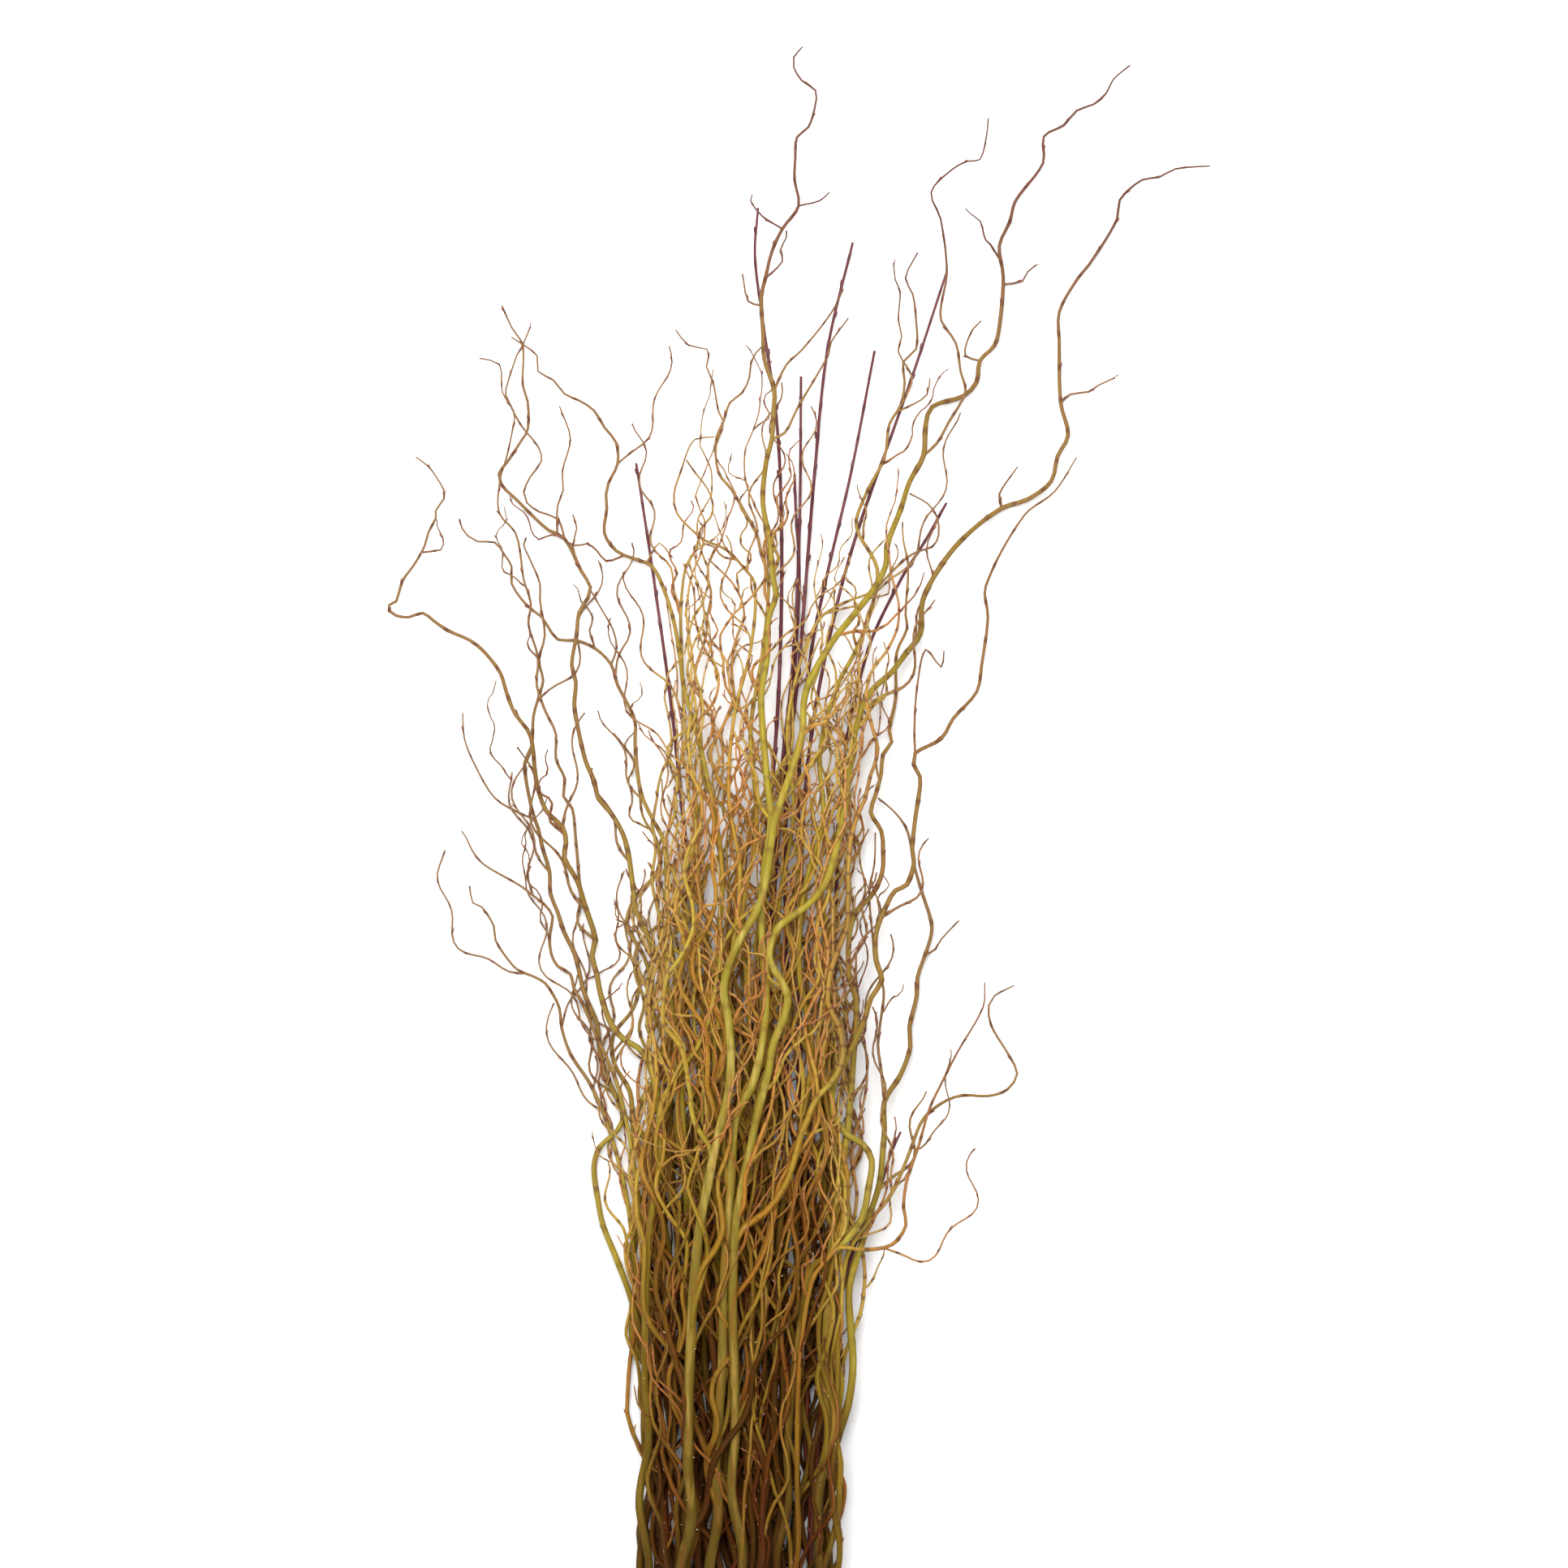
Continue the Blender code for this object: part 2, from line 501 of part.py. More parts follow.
def lay(shape, ground):
    """Lays a stem on what is already there, and raises the map to its top."""
    starts, ends, shares, plan, halves = sampled(shape)
    under = np.zeros(len(plan))

    def read(here, columns, rows):
        under[here] = ground[rows, columns].max(axis=1)

    over_cells(plan, halves, read)
    gap = np.where(under > 0, STEM_GAP + (SLOPE_ROOM - 1) * halves, 0.0)
    least = under + halves + gap
    heights = shape["halves"] + shape["curl"]
    near_share = (1 - shares) / ((1 - shares) ** 2 + shares**2)
    far_share = shares / ((1 - shares) ** 2 + shares**2)
    for turn in range(SETTLE_ROUNDS):
        if turn < SAG_ROUNDS:
            heights = stiffened(shape, heights - SAG)
        short = least - (1 - shares) * heights[starts] - shares * heights[ends]
        if turn >= SAG_ROUNDS and short.max() < 1e-7:
            break
        lift = np.zeros(len(heights))
        np.maximum.at(lift, starts, short * near_share)
        np.maximum.at(lift, ends, short * far_share)
        heights = heights + lift
    short = least - (1 - shares) * heights[starts] - shares * heights[ends]
    heights += short.max()
    shape["heights"] = heights
    tops = (1 - shares) * heights[starts] + shares * heights[ends] + SLOPE_ROOM * halves

    def write(here, columns, rows):
        high = np.broadcast_to(tops[here][:, None], columns.shape)
        np.maximum.at(ground, (rows, columns), high)

    over_cells(plan, halves, write)


def stiffened(shape, heights):
    """Carries a lifted point's neighbours with it, as stiff wood does."""
    lift = heights - shape["halves"] - shape["curl"]
    for run in shape["runs"]:
        part = lift[run]
        places = distances(shape["points"][run])
        if len(run) > 2:
            near = (places[1:-1] - places[:-2]) / (places[2:] - places[:-2])
            part[1:-1] = np.maximum(part[1:-1], (1 - near) * part[:-2] + near * part[2:])
        part[-1] = max(part[-1], TIP_FALL * part[-2])
        if run is shape["runs"][0]:
            part[0] = max(part[0], TIP_FALL * part[1])
        lift[run] = part
    return shape["halves"] + shape["curl"] + lift


def bark(name, colour):
    material = bpy.data.materials.new(name)
    material.use_nodes = True
    shader = material.node_tree.nodes["Principled BSDF"]
    shader.inputs["Base Color"].default_value = (*colour, 1.0)
    shader.inputs["Roughness"].default_value = 0.55
    shader.inputs["Metallic"].default_value = 0.0
    material.diffuse_color = (*colour, 1.0)
    return material


def tube_mesh(name, places, halves):
    """A square rod through the places, with flats that face up and down."""
    curve = bpy.data.curves.new(name, "CURVE")
    curve.dimensions = "3D"
    curve.twist_mode = "Z_UP"
    curve.bevel_depth = 1.0
    curve.bevel_resolution = 0
    curve.use_fill_caps = True
    spline = curve.splines.new("POLY")
    spline.points.add(len(places) - 1)
    for point, place, half in zip(spline.points, places, halves):
        point.co = (*place, 1.0)
        point.radius = half * math.sqrt(2)
        point.tilt = math.pi / 4
    rod = bpy.data.objects.new(name, curve)
    bpy.context.scene.collection.objects.link(rod)
    graph = bpy.context.evaluated_depsgraph_get()
    mesh = bpy.data.meshes.new_from_object(rod.evaluated_get(graph))
    bpy.data.objects.remove(rod)
    bpy.data.curves.remove(curve)
    welder = bmesh.new()
    welder.from_mesh(mesh)
    bmesh.ops.remove_doubles(welder, verts=welder.verts, dist=1e-6)
    bmesh.ops.triangulate(welder, faces=welder.faces)
    bmesh.ops.recalc_face_normals(welder, faces=welder.faces)
    welder.to_mesh(mesh)
    welder.free()
    return mesh


def stem_solid(shape, shift, material, bunch):
    """One stem with its branches joined to it, as an object of the bunch."""
    plan = shape["points"]
    places = np.column_stack([
        (plan[:, 0] - MIDDLE_X) * PIXEL - shift[0],
        (PHOTO_BOTTOM - plan[:, 1]) * PIXEL - shift[1],
        shape["heights"],
    ])
    stem_run, *branch_runs = shape["runs"]
    mesh = tube_mesh(shape["name"], places[stem_run], shape["halves"][stem_run])
    stem = bpy.data.objects.new(shape["name"], mesh)
    bunch.objects.link(stem)
    branches = bpy.data.collections.new("branches")
    bpy.context.scene.collection.children.link(branches)
    for run, root_size in zip(branch_runs, shape.get("branch_sizes", [])):
        halves = shape["halves"][run].copy()
        halves[0] = FLAT_SHARE * root_size * PIXEL
        branch = bpy.data.objects.new("branch", tube_mesh("branch", places[run], halves))
        branches.objects.link(branch)
    if branch_runs:
        joint = stem.modifiers.new("grown together", "BOOLEAN")
        joint.operation = "UNION"
        joint.operand_type = "COLLECTION"
        joint.collection = branches
        joint.solver = "EXACT"
        graph = bpy.context.evaluated_depsgraph_get()
        joined = bpy.data.meshes.new_from_object(stem.evaluated_get(graph))
        stem.modifiers.clear()
        stem.data = joined
        joined.name = shape["name"]
    for branch in list(branches.objects):
        bpy.data.objects.remove(branch)
    bpy.data.collections.remove(branches)
    stem.data.materials.clear()
    stem.data.materials.append(material)
    stem.data.shade_flat()
    return stem


def middle_of(shapes):
    """The middle of the whole bunch in plan, in metres."""
    low, high = np.full(2, 9.0), np.full(2, -9.0)
    for shape in shapes:
        plan = (shape["points"] - (MIDDLE_X, PHOTO_BOTTOM)) * (PIXEL, -PIXEL)
        beside = shape["halves"][:, None] * (1, 0)
        low = np.minimum(low, (plan - beside).min(axis=0))
        high = np.maximum(high, (plan + beside).max(axis=0))
    return (low + high) / 2


def main():
    for item in list(bpy.data.objects):
        bpy.data.objects.remove(item)
    bunch = bpy.data.collections.new("willow stems")
    bpy.context.scene.collection.children.link(bunch)
    green = bark("olive willow bark", (0.33, 0.29, 0.06))
    red = bark("purple red cane bark", (0.13, 0.04, 0.05))
    shapes = stem_shapes()
    ground = np.zeros((MAP_HIGH, MAP_WIDE))
    for order, shape in enumerate(shapes):
        shape["order"] = order
        tree_of(shape, len(shapes))
        lay(shape, ground)
    shift = middle_of(shapes)
    for shape in shapes:
        stem_solid(shape, shift, red if shape["straight"] else green, bunch)


main()
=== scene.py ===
"""Looks of a cut bunch of curly willow stems, laid down and seen from above.

Each stem of the frame gets a finer piece along the same route: round tapered wood with swollen
leaf joints, its branches, many fine curly twigs, buds, bark colours by age and painted shade, and a cut
end.
"""

import math
import random

import bmesh
import bpy
import numpy as np
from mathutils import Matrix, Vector


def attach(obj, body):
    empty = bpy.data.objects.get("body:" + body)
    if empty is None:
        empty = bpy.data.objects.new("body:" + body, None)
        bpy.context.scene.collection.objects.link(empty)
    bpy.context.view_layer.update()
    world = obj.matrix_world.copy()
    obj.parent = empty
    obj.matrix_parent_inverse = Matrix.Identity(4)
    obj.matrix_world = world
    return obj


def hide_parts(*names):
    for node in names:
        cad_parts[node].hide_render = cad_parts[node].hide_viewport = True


# The frame's own sizes. Routes are in photo pixels, X right and Y down, and one pixel is 0.8 mm
PIXEL = 0.0008
MIDDLE_X = 966
PHOTO_BOTTOM = 1932
CUT_Y = 2074
CUT_SPREAD = 16
STEP = 10

# Thickness of the wood, in photo pixels across the stem
TWIG_END = 1.9
CANE_END = 3.0
TAPER = 0.8
BRANCH_SHARE = 0.58
FLAT_SHARE = 0.886

# How the stems lie, in metres
STEM_GAP = 0.0002
SLOPE_ROOM = 1.03
PLAN_ROOM = 0.9
TOP_CURL = 0.012
TOP_RISE = 0.10
RISE_SHARE = 0.4
FLAT_LAYERS = 9
SAG = 0.0006
SAG_ROUNDS = 160
TIP_FALL = 0.94
SETTLE_ROUNDS = 400

# How far the straight stretches of a solid may stray from the curly route, in photo pixels
STEM_STRAYS = 3.4
BRANCH_STRAYS = 4.5
SAMPLE_STEP = 1.5

# Stems that fill the thick of the bunch, in photo pixels
FILLERS = 22
FOOT_EDGES = (803, 1018)
FOOT_MIDDLE = 915
FAN_OUT = 0.45
TIP_ROWS = (640, 1120)
FOOT_ROW = 1960
WAVE_STEP = 34
FILLER_WIDTHS = (7.0, 12.0)

# Curls of the unseen foot and of the seeded branches
SWAY_STEP = 75
SWAY_TURN = 2.1
CURLY_SWAY = 9
CANE_SWAY = 3
BRANCHES_WANTED = 4
BRANCH_ZONE = (0.46, 0.90)
BRANCH_LENGTHS = (120, 260)
BARE_PAST = (560, 1105)
FULL_TURN = 2 * math.pi
SEED = 7

# Ground map, in photo pixels
MAP_LEFT, MAP_TOP = 400, 0
MAP_WIDE, MAP_HIGH = 1180, 2160

# Finer wood than the frame's, in photo pixels
TWIG_STEP = 8
TWIG_POINT = 1.4
FINE_TWIG = 2.5
SIDE_TWIG = 4.0
SUB_TWIG = 3.4
SLIM_WOOD = 5
RUNNER_WIDTHS = (5.0, 6.4, 8.0, 10.0)
RUNNER_LENGTHS = (360, 600, 980)
SIDE_LENGTHS = (40, 240)
SUB_LENGTHS = (35, 150)
RUNNER_ROOM = 12
TWIG_ROOM = 4

# Leaf joints: how far apart, how far they reach, and how much they swell thick and slim wood
CANE_JOINTS = 38
TRUNK_JOINTS = (38, 52)
BRANCH_JOINTS = (26, 38)
TWIG_JOINTS = (22, 34)
JOINT_REACH = 4.5
THICK_SWELL = 0.04
JOINT_SWELL = 0.24

# How far twigs lean away from their stem, and how sharply they kink, in degrees
RUNNER_LEANS = (5, 22)
SIDE_LEANS = (20, 44)
SUB_LEANS = (20, 52)
KINK = 34

# How far twigs rise, in metres, and how green they are, from orange at 0 to olive at 1
RUNNER_RISES = (-0.01, 0.02)
SIDE_RISES = (-0.01, 0.03)
SUB_RISES = (-0.008, 0.02)
RUNNER_TONES = (0.0, 1.1)
TWIG_TONES = (-0.2, 1.0)

# Sides of the round wood, and how many pieces of it a stem gets, by its place in the pile
TRUNK_SIDES = 10
BRANCH_SIDES = 6
TWIG_SIDES = 4
DEEP_STEMS = 22
TOP_STEMS = 48
RUNNERS = 4
TOP_RUNNERS = 6
CROWN_TWIGS = 11
TOP_TWIGS = 18
SUB_TWIGS = 3
SUB_TWIG_RUN = 200

# Chance of a twig at some rows inside the bunch, times this on top stems, and clear of the bunch
TWIG_CHANCES = ((640, 0.75), (850, 0.45), (1050, 0.22), (1500, 0.26))
TOP_WISH = 1.8
CLEAR_CHANCE = 0.07

# Rows and spans of the photo over which the wood changes
CROWN_TOP = 640
# Below this row, wood inside the bunch is aged at random and darkened with painted shade
WORN_AND_SHADED_BELOW = 880
YOUNG_BELOW = 900
YOUNG_SPAN = 620
# From this row down the wood darkens towards the foot, as older bark and as painted shade
OLD_AND_SHADED_ABOVE = 1300
OLD_AND_SHADED_SPAN = 640
CURLY_ABOVE = 1150
CALM_SPAN = 400
SUN_SPAN = 130
CLEAR_SPAN = 40
SUNNED = 0.75
RIGHT_SUN = 1.9

# Left and right edge of the bunch at some rows of the photo
BUNCH_EDGES = (
    (600, 884, 1080), (800, 866, 1075), (1000, 860, 1036), (1200, 842, 1000),
    (1400, 818, 1010), (1550, 806, 1016), (1700, 812, 1014), (1932, 816, 1010), (2074, 820, 1008),
)

# Heights and sizes in metres
HIGHEST = 0.138
TWIG_GAP = 0.0003
BUD_WOOD = 0.0030
BARK_RIM = 0.0006
PITH_DEPTH = 0.0004
WILLOW_BUD = (0.0036, 0.0058)
CANE_BUD = (0.006, 0.009)
SCAR = (0.0020, 0.0034)

# Cut ends and buds, as shares, with the turn from one bud to the next in radians
PITH_SHARE = 0.36
BUD_TURN = 2.4
BUDS_LOST = 0.15
SCARS_LOST = 0.45
PALE_SCARS = 0.4

# What each point of a piece knows of its wood: millimetres thick, leaf joints passed, tone, youth with
# painted shade
FACTS = ("thickness", "joints", "tone", "youth")

# Material slots of a piece
BARK, WOOD, PITH, BUD, CUT = range(5)

# Bark colours, as on a screen, from the thinnest wood to the thickest
OLIVE_BARK = (
    (0.0, (190, 152, 96)), (0.16, (194, 160, 78)), (0.32, (172, 150, 54)),
    (0.55, (154, 140, 42)), (0.8, (134, 125, 48)), (1.0, (122, 112, 38)),
)
ORANGE_BARK = (
    (0.0, (186, 134, 90)), (0.16, (194, 136, 78)), (0.32, (178, 126, 50)),
    (0.55, (166, 122, 30)), (0.8, (148, 122, 36)), (1.0, (132, 112, 30)),
)
MAUVE_BARK = (
    (0.0, (86, 56, 54)), (0.16, (106, 68, 60)), (0.34, (116, 76, 56)),
    (0.5, (124, 98, 42)), (0.7, (122, 108, 38)), (1.0, (116, 106, 34)),
)
CANE_BARK = (
    (0.0, (106, 44, 54)), (0.5, (92, 34, 40)), (1.0, (78, 28, 30)),
)

# Marks on the bark, as on a screen
DARK_STREAKS = (98, 58, 12)
PALE_STREAKS = (198, 176, 96)
BROWN_STREAKS = (146, 98, 34)
TAN_SPECKS = (204, 166, 84)
WILLOW_JOINT = (88, 48, 30)
GREY_BLOOM = (142, 104, 108)
CANE_JOINT = (62, 30, 32)
OLD_CANE = (118, 56, 30)

# What older bark is multiplied by, and old bark together with painted shade at the foot and deep in the
# pile
GOLDEN = (1.0, 0.87, 0.72, 1.0)
OLD_AND_SHADED_BARK = (0.17, 0.09, 0.0, 1.0)

# Camera and light
PHOTO_SIDE = 1932
LENS = 220.0
SENSOR = 36.0
PILE_MIDDLE = 0.04
WORLD_LIGHT = 0.46
KEY_LIGHT = 222.0
KEY_SIZE = 2.8
KEY_PLACE = (-0.4, 1.1, 3.6)
KEY_TARGET = (0.0, 0.2, 0.0)
FLOOR_REACH = 8.0
FLOOR_WHITE = (0.94, 0.94, 0.94, 1.0)

# Followed on the photo, tip first. Each: place in the pile, butt X, butt width, route
CURLY = [
    (43, 884, 14.0, [
        (989, 55), (978, 68), (978, 80), (988, 97), (1005, 110), (1004, 131), (996, 155), (982, 167),
        (980, 192), (979, 220), (984, 253), (964, 282), (951, 310), (943, 343), (938, 367), (940, 408),
        (942, 445), (954, 482), (953, 510), (951, 543), (944, 571), (940, 620), (948, 664), (952, 710),
        (956, 735), (947, 763), (945, 811), (938, 857), (940, 900), (945, 960), (950, 1010), (942, 1070),
        (938, 1117), (940, 1172), (944, 1215), (941, 1272), (927, 1335), (907, 1375), (901, 1459),
        (893, 1560), (890, 1680), (882, 1800)]),
    (45, 842, 14.5, [
        (1393, 79), (1372, 97), (1364, 113), (1349, 126), (1328, 133), (1312, 151), (1287, 166),
        (1286, 199), (1252, 245), (1245, 271), (1232, 301), (1237, 339), (1233, 394), (1226, 424),
        (1208, 443), (1204, 469), (1188, 486), (1149, 500), (1141, 522), (1138, 561), (1121, 593),
        (1110, 627), (1093, 672), (1091, 698), (1075, 728), (1052, 758), (1025, 792), (997, 841),
        (990, 868), (989, 900), (975, 950), (955, 1010), (938, 1108), (907, 1166), (892, 1215), (898, 1255),
        (901, 1301), (898, 1344), (884, 1401), (872, 1459), (861, 1520), (852, 1640), (848, 1800)]),
    (44, 908, 13.5, [
        (1492, 203), (1449, 207), (1429, 217), (1408, 220), (1381, 244), (1378, 267), (1343, 324),
        (1329, 341), (1306, 383), (1306, 416), (1308, 494), (1317, 535), (1304, 561), (1296, 592),
        (1267, 614), (1235, 625), (1190, 660), (1160, 696), (1137, 740), (1134, 781), (1117, 804),
        (1098, 829), (1075, 850), (1057, 884), (1045, 960), (1040, 1000), (1020, 1080), (1000, 1110),
        (958, 1143), (948, 1170), (950, 1186), (970, 1223), (967, 1249), (953, 1284), (947, 1318),
        (935, 1364), (924, 1416), (915, 1459), (907, 1502), (903, 1600), (906, 1760)]),
    (37, 962, 11.0, [
        (1327, 563), (1300, 605), (1262, 635), (1215, 722), (1218, 760), (1210, 820), (1204, 852),
        (1175, 885), (1160, 910), (1128, 928), (1126, 942), (1134, 957), (1133, 976), (1128, 1008),
        (1124, 1047), (1126, 1063), (1117, 1090), (1103, 1097), (1094, 1111), (1079, 1150), (1079, 1182),
        (1086, 1207), (1073, 1228), (1063, 1260), (1041, 1308), (1027, 1337), (1027, 1371), (1043, 1397),
        (1063, 1409), (1074, 1429), (1070, 1463), (1063, 1497), (1048, 1521), (1024, 1545), (1000, 1562),
        (985, 1640), (970, 1780)]),
    (35, 1010, 12.0, [
        (1112, 643), (1113, 666), (1119, 696), (1116, 758), (1118, 774), (1105, 804), (1104, 861),
        (1096, 900), (1099, 914), (1088, 930), (1086, 953), (1079, 980), (1073, 1001), (1086, 1024),
        (1088, 1047), (1087, 1074), (1076, 1100), (1056, 1123), (1047, 1148), (1046, 1203), (1054, 1228),
        (1055, 1260), (1052, 1296), (1048, 1354), (1043, 1405), (1037, 1434), (1031, 1477), (1022, 1560),
        (1016, 1700)]),
    (31, 1001, 12.5, [
        (1082, 983), (1101, 999), (1116, 1018), (1122, 1038), (1126, 1063), (1135, 1095), (1148, 1136),
        (1148, 1152), (1140, 1178), (1131, 1205), (1130, 1228), (1121, 1267), (1122, 1291), (1110, 1325),
        (1090, 1358), (1090, 1390), (1088, 1419), (1084, 1458), (1073, 1494), (1064, 1526), (1051, 1567),
        (1046, 1595), (1048, 1635), (1051, 1680), (1046, 1726), (1030, 1780), (1025, 1815), (1021, 1857),
        (1011, 1895)]),
    (38, 798, 11.0, [
        (511, 562), (527, 574), (536, 586), (547, 605), (546, 614), (536, 629), (536, 638), (527, 655),
        (522, 672), (509, 695), (494, 716), (487, 740), (478, 745), (478, 752), (487, 758), (503, 760),
        (520, 755), (533, 764), (550, 776), (579, 789), (596, 803), (616, 829), (624, 853), (635, 880),
        (650, 899), (656, 917), (659, 951), (664, 978), (673, 1000), (693, 1020), (697, 1039), (695, 1057),
        (711, 1086), (722, 1122), (730, 1145), (733, 1159), (729, 1178), (735, 1201), (740, 1226),
        (753, 1262), (767, 1279), (793, 1298), (812, 1360), (812, 1440), (800, 1520), (795, 1700)]),
    (27, 852, 10.5, [
        (617, 374), (629, 401), (643, 424), (643, 473), (649, 493), (649, 527), (641, 541), (624, 567),
        (613, 582), (616, 595), (636, 615), (659, 638), (675, 652), (695, 663), (715, 702), (727, 723),
        (724, 736), (713, 754), (710, 782), (704, 819), (709, 840), (707, 868), (710, 889), (721, 937),
        (732, 963), (737, 984), (752, 1001), (767, 1027), (774, 1052), (781, 1103), (784, 1124),
        (795, 1145), (802, 1165), (818, 1203), (826, 1230), (838, 1330), (846, 1480), (848, 1700)]),
    (29, 884, 10.5, [
        (629, 414), (661, 437), (662, 456), (681, 467), (695, 484), (713, 492), (731, 504), (744, 525),
        (758, 543), (760, 570), (749, 594), (746, 608), (747, 626), (744, 656), (759, 678), (779, 687),
        (803, 697), (821, 735), (831, 770), (838, 811), (842, 845), (853, 884), (865, 930), (880, 1000),
        (890, 1080), (884, 1200), (893, 1330), (884, 1480), (888, 1700)]),
    (22, 832, 9.5, [
        (564, 638), (568, 650), (575, 659), (587, 666), (608, 667), (620, 682), (629, 697), (629, 718),
        (649, 746), (666, 759), (686, 787), (708, 788), (732, 798), (752, 818), (760, 843), (772, 866),
        (782, 889), (782, 917), (789, 976), (802, 1006), (818, 1039), (822, 1120), (833, 1230), (826, 1380),
        (836, 1560)]),
    (18, 792, 9.5, [
        (647, 661), (644, 670), (650, 684), (664, 718), (664, 738), (670, 782), (663, 812), (668, 838),
        (664, 853), (656, 882), (654, 919), (645, 940), (654, 998), (662, 1021), (667, 1044), (676, 1075),
        (677, 1101), (686, 1124), (694, 1149), (707, 1176), (719, 1224), (735, 1264), (739, 1300),
        (752, 1340), (768, 1372), (760, 1394), (738, 1415), (731, 1440), (736, 1480), (742, 1510),
        (758, 1550), (775, 1595), (790, 1650), (797, 1720), (800, 1800), (803, 1830), (796, 1868)]),
    (25, 815, 8.5, [
        (568, 1024), (574, 1033), (580, 1047), (591, 1062), (605, 1072), (625, 1083), (642, 1093),
        (656, 1104), (670, 1115), (680, 1130), (676, 1153), (678, 1176), (686, 1191), (702, 1201),
        (706, 1218), (717, 1237), (734, 1277), (758, 1330), (775, 1400), (790, 1500), (806, 1640)]),
    (12, 806, 8.0, [
        (577, 1092), (581, 1113), (592, 1118), (607, 1142), (609, 1159), (626, 1185), (637, 1196),
        (656, 1204), (670, 1212), (680, 1226), (688, 1243), (691, 1268), (702, 1300), (728, 1340),
        (752, 1400), (772, 1480), (786, 1600), (803, 1760)]),
    (40, 976, 8.0, [
        (1213, 1210), (1211, 1240), (1180, 1295), (1162, 1330), (1145, 1366), (1132, 1410), (1121, 1441),
        (1116, 1458), (1113, 1487), (1116, 1509), (1099, 1533), (1065, 1539), (1034, 1536), (1019, 1550),
        (1000, 1577), (985, 1680), (982, 1820)]),
    (36, 1022, 8.0, [
        (1250, 1215), (1226, 1228), (1219, 1240), (1222, 1264), (1245, 1303), (1254, 1324), (1242, 1343),
        (1218, 1351), (1187, 1350), (1167, 1356), (1145, 1371), (1134, 1385), (1121, 1419), (1104, 1460),
        (1092, 1480), (1073, 1502), (1053, 1528), (1043, 1550), (1034, 1620), (1030, 1760)]),
    (24, 921, 9.5, [
        (939, 425), (931, 433), (925, 445), (923, 463), (914, 482), (899, 494), (891, 518), (882, 538),
        (885, 581), (901, 602), (917, 629), (932, 657), (938, 682), (947, 714), (940, 800), (925, 900),
        (932, 1020), (915, 1130), (923, 1260), (914, 1420), (924, 1600)]),
    (33, 902, 9.0, [
        (880, 538), (856, 541), (847, 555), (841, 573), (830, 608), (834, 632), (855, 655), (869, 666),
        (887, 673), (901, 682), (915, 698), (930, 719), (925, 800), (905, 880), (898, 980), (912, 1080),
        (898, 1200), (880, 1300), (892, 1450), (896, 1650)]),
    (20, 872, 9.5, [
        (845, 565), (857, 582), (871, 600), (878, 620), (875, 636), (863, 650), (858, 673), (845, 696),
        (840, 724), (838, 758), (839, 792), (841, 838), (844, 900), (858, 1000), (852, 1120), (866, 1250),
        (858, 1400), (868, 1600)]),
    (28, 951, 10.5, [
        (1131, 310), (1116, 341), (1125, 361), (1129, 392), (1129, 429), (1113, 445), (1115, 469),
        (1110, 498), (1096, 522), (1090, 563), (1071, 600), (1055, 640), (1059, 659), (1073, 682),
        (1081, 701), (1079, 730), (1060, 790), (1030, 850), (1010, 930), (1014, 1010), (990, 1100),
        (985, 1200), (1000, 1290), (985, 1400), (962, 1500), (958, 1650)]),
    (23, 937, 9.0, [
        (1121, 607), (1144, 620), (1155, 636), (1157, 659), (1149, 673), (1133, 678), (1117, 687),
        (1098, 705), (1075, 728), (1041, 742), (1009, 763), (985, 820), (970, 900), (978, 1000),
        (962, 1100), (945, 1230), (952, 1350), (938, 1500), (942, 1680)]),
]

# Straight red canes, tip first: place in the pile, butt X, butt width, route
CANES = [
    (3, 902, 7.0, [(783, 569), (803, 700), (828, 882), (850, 1100), (865, 1250)]),
    (14, 928, 7.0, [
        (934, 254), (930, 312), (938, 381), (957, 518), (963, 655), (961, 815), (952, 960), (934, 1140)]),
    (6, 946, 6.5, [(987, 462), (985, 655), (977, 815), (962, 960), (950, 1140)]),
    (10, 962, 7.0, [(1051, 296), (1020, 427), (1004, 580), (985, 815), (970, 960), (968, 1160)]),
    (8, 981, 6.5, [(1078, 430), (1049, 580), (1018, 712), (1000, 800), (985, 940), (985, 1180)]),
    (5, 916, 6.0, [(979, 583), (981, 640), (985, 700), (981, 800), (972, 900), (960, 1020), (942, 1300)]),
    (16, 999, 7.0, [
        (1167, 333), (1129, 449), (1096, 543), (1058, 650), (1032, 742), (1003, 884), (990, 1010),
        (985, 1200)]),
    (11, 1014, 6.5, [(1167, 618), (1140, 666), (1110, 714), (1070, 800), (1040, 940), (1028, 1200)]),
    (23.5, 998, 6.5, [
        (1110, 1395), (1097, 1424), (1086, 1460), (1068, 1500), (1045, 1560), (1026, 1640), (1012, 1740),
        (1002, 1855)]),
]
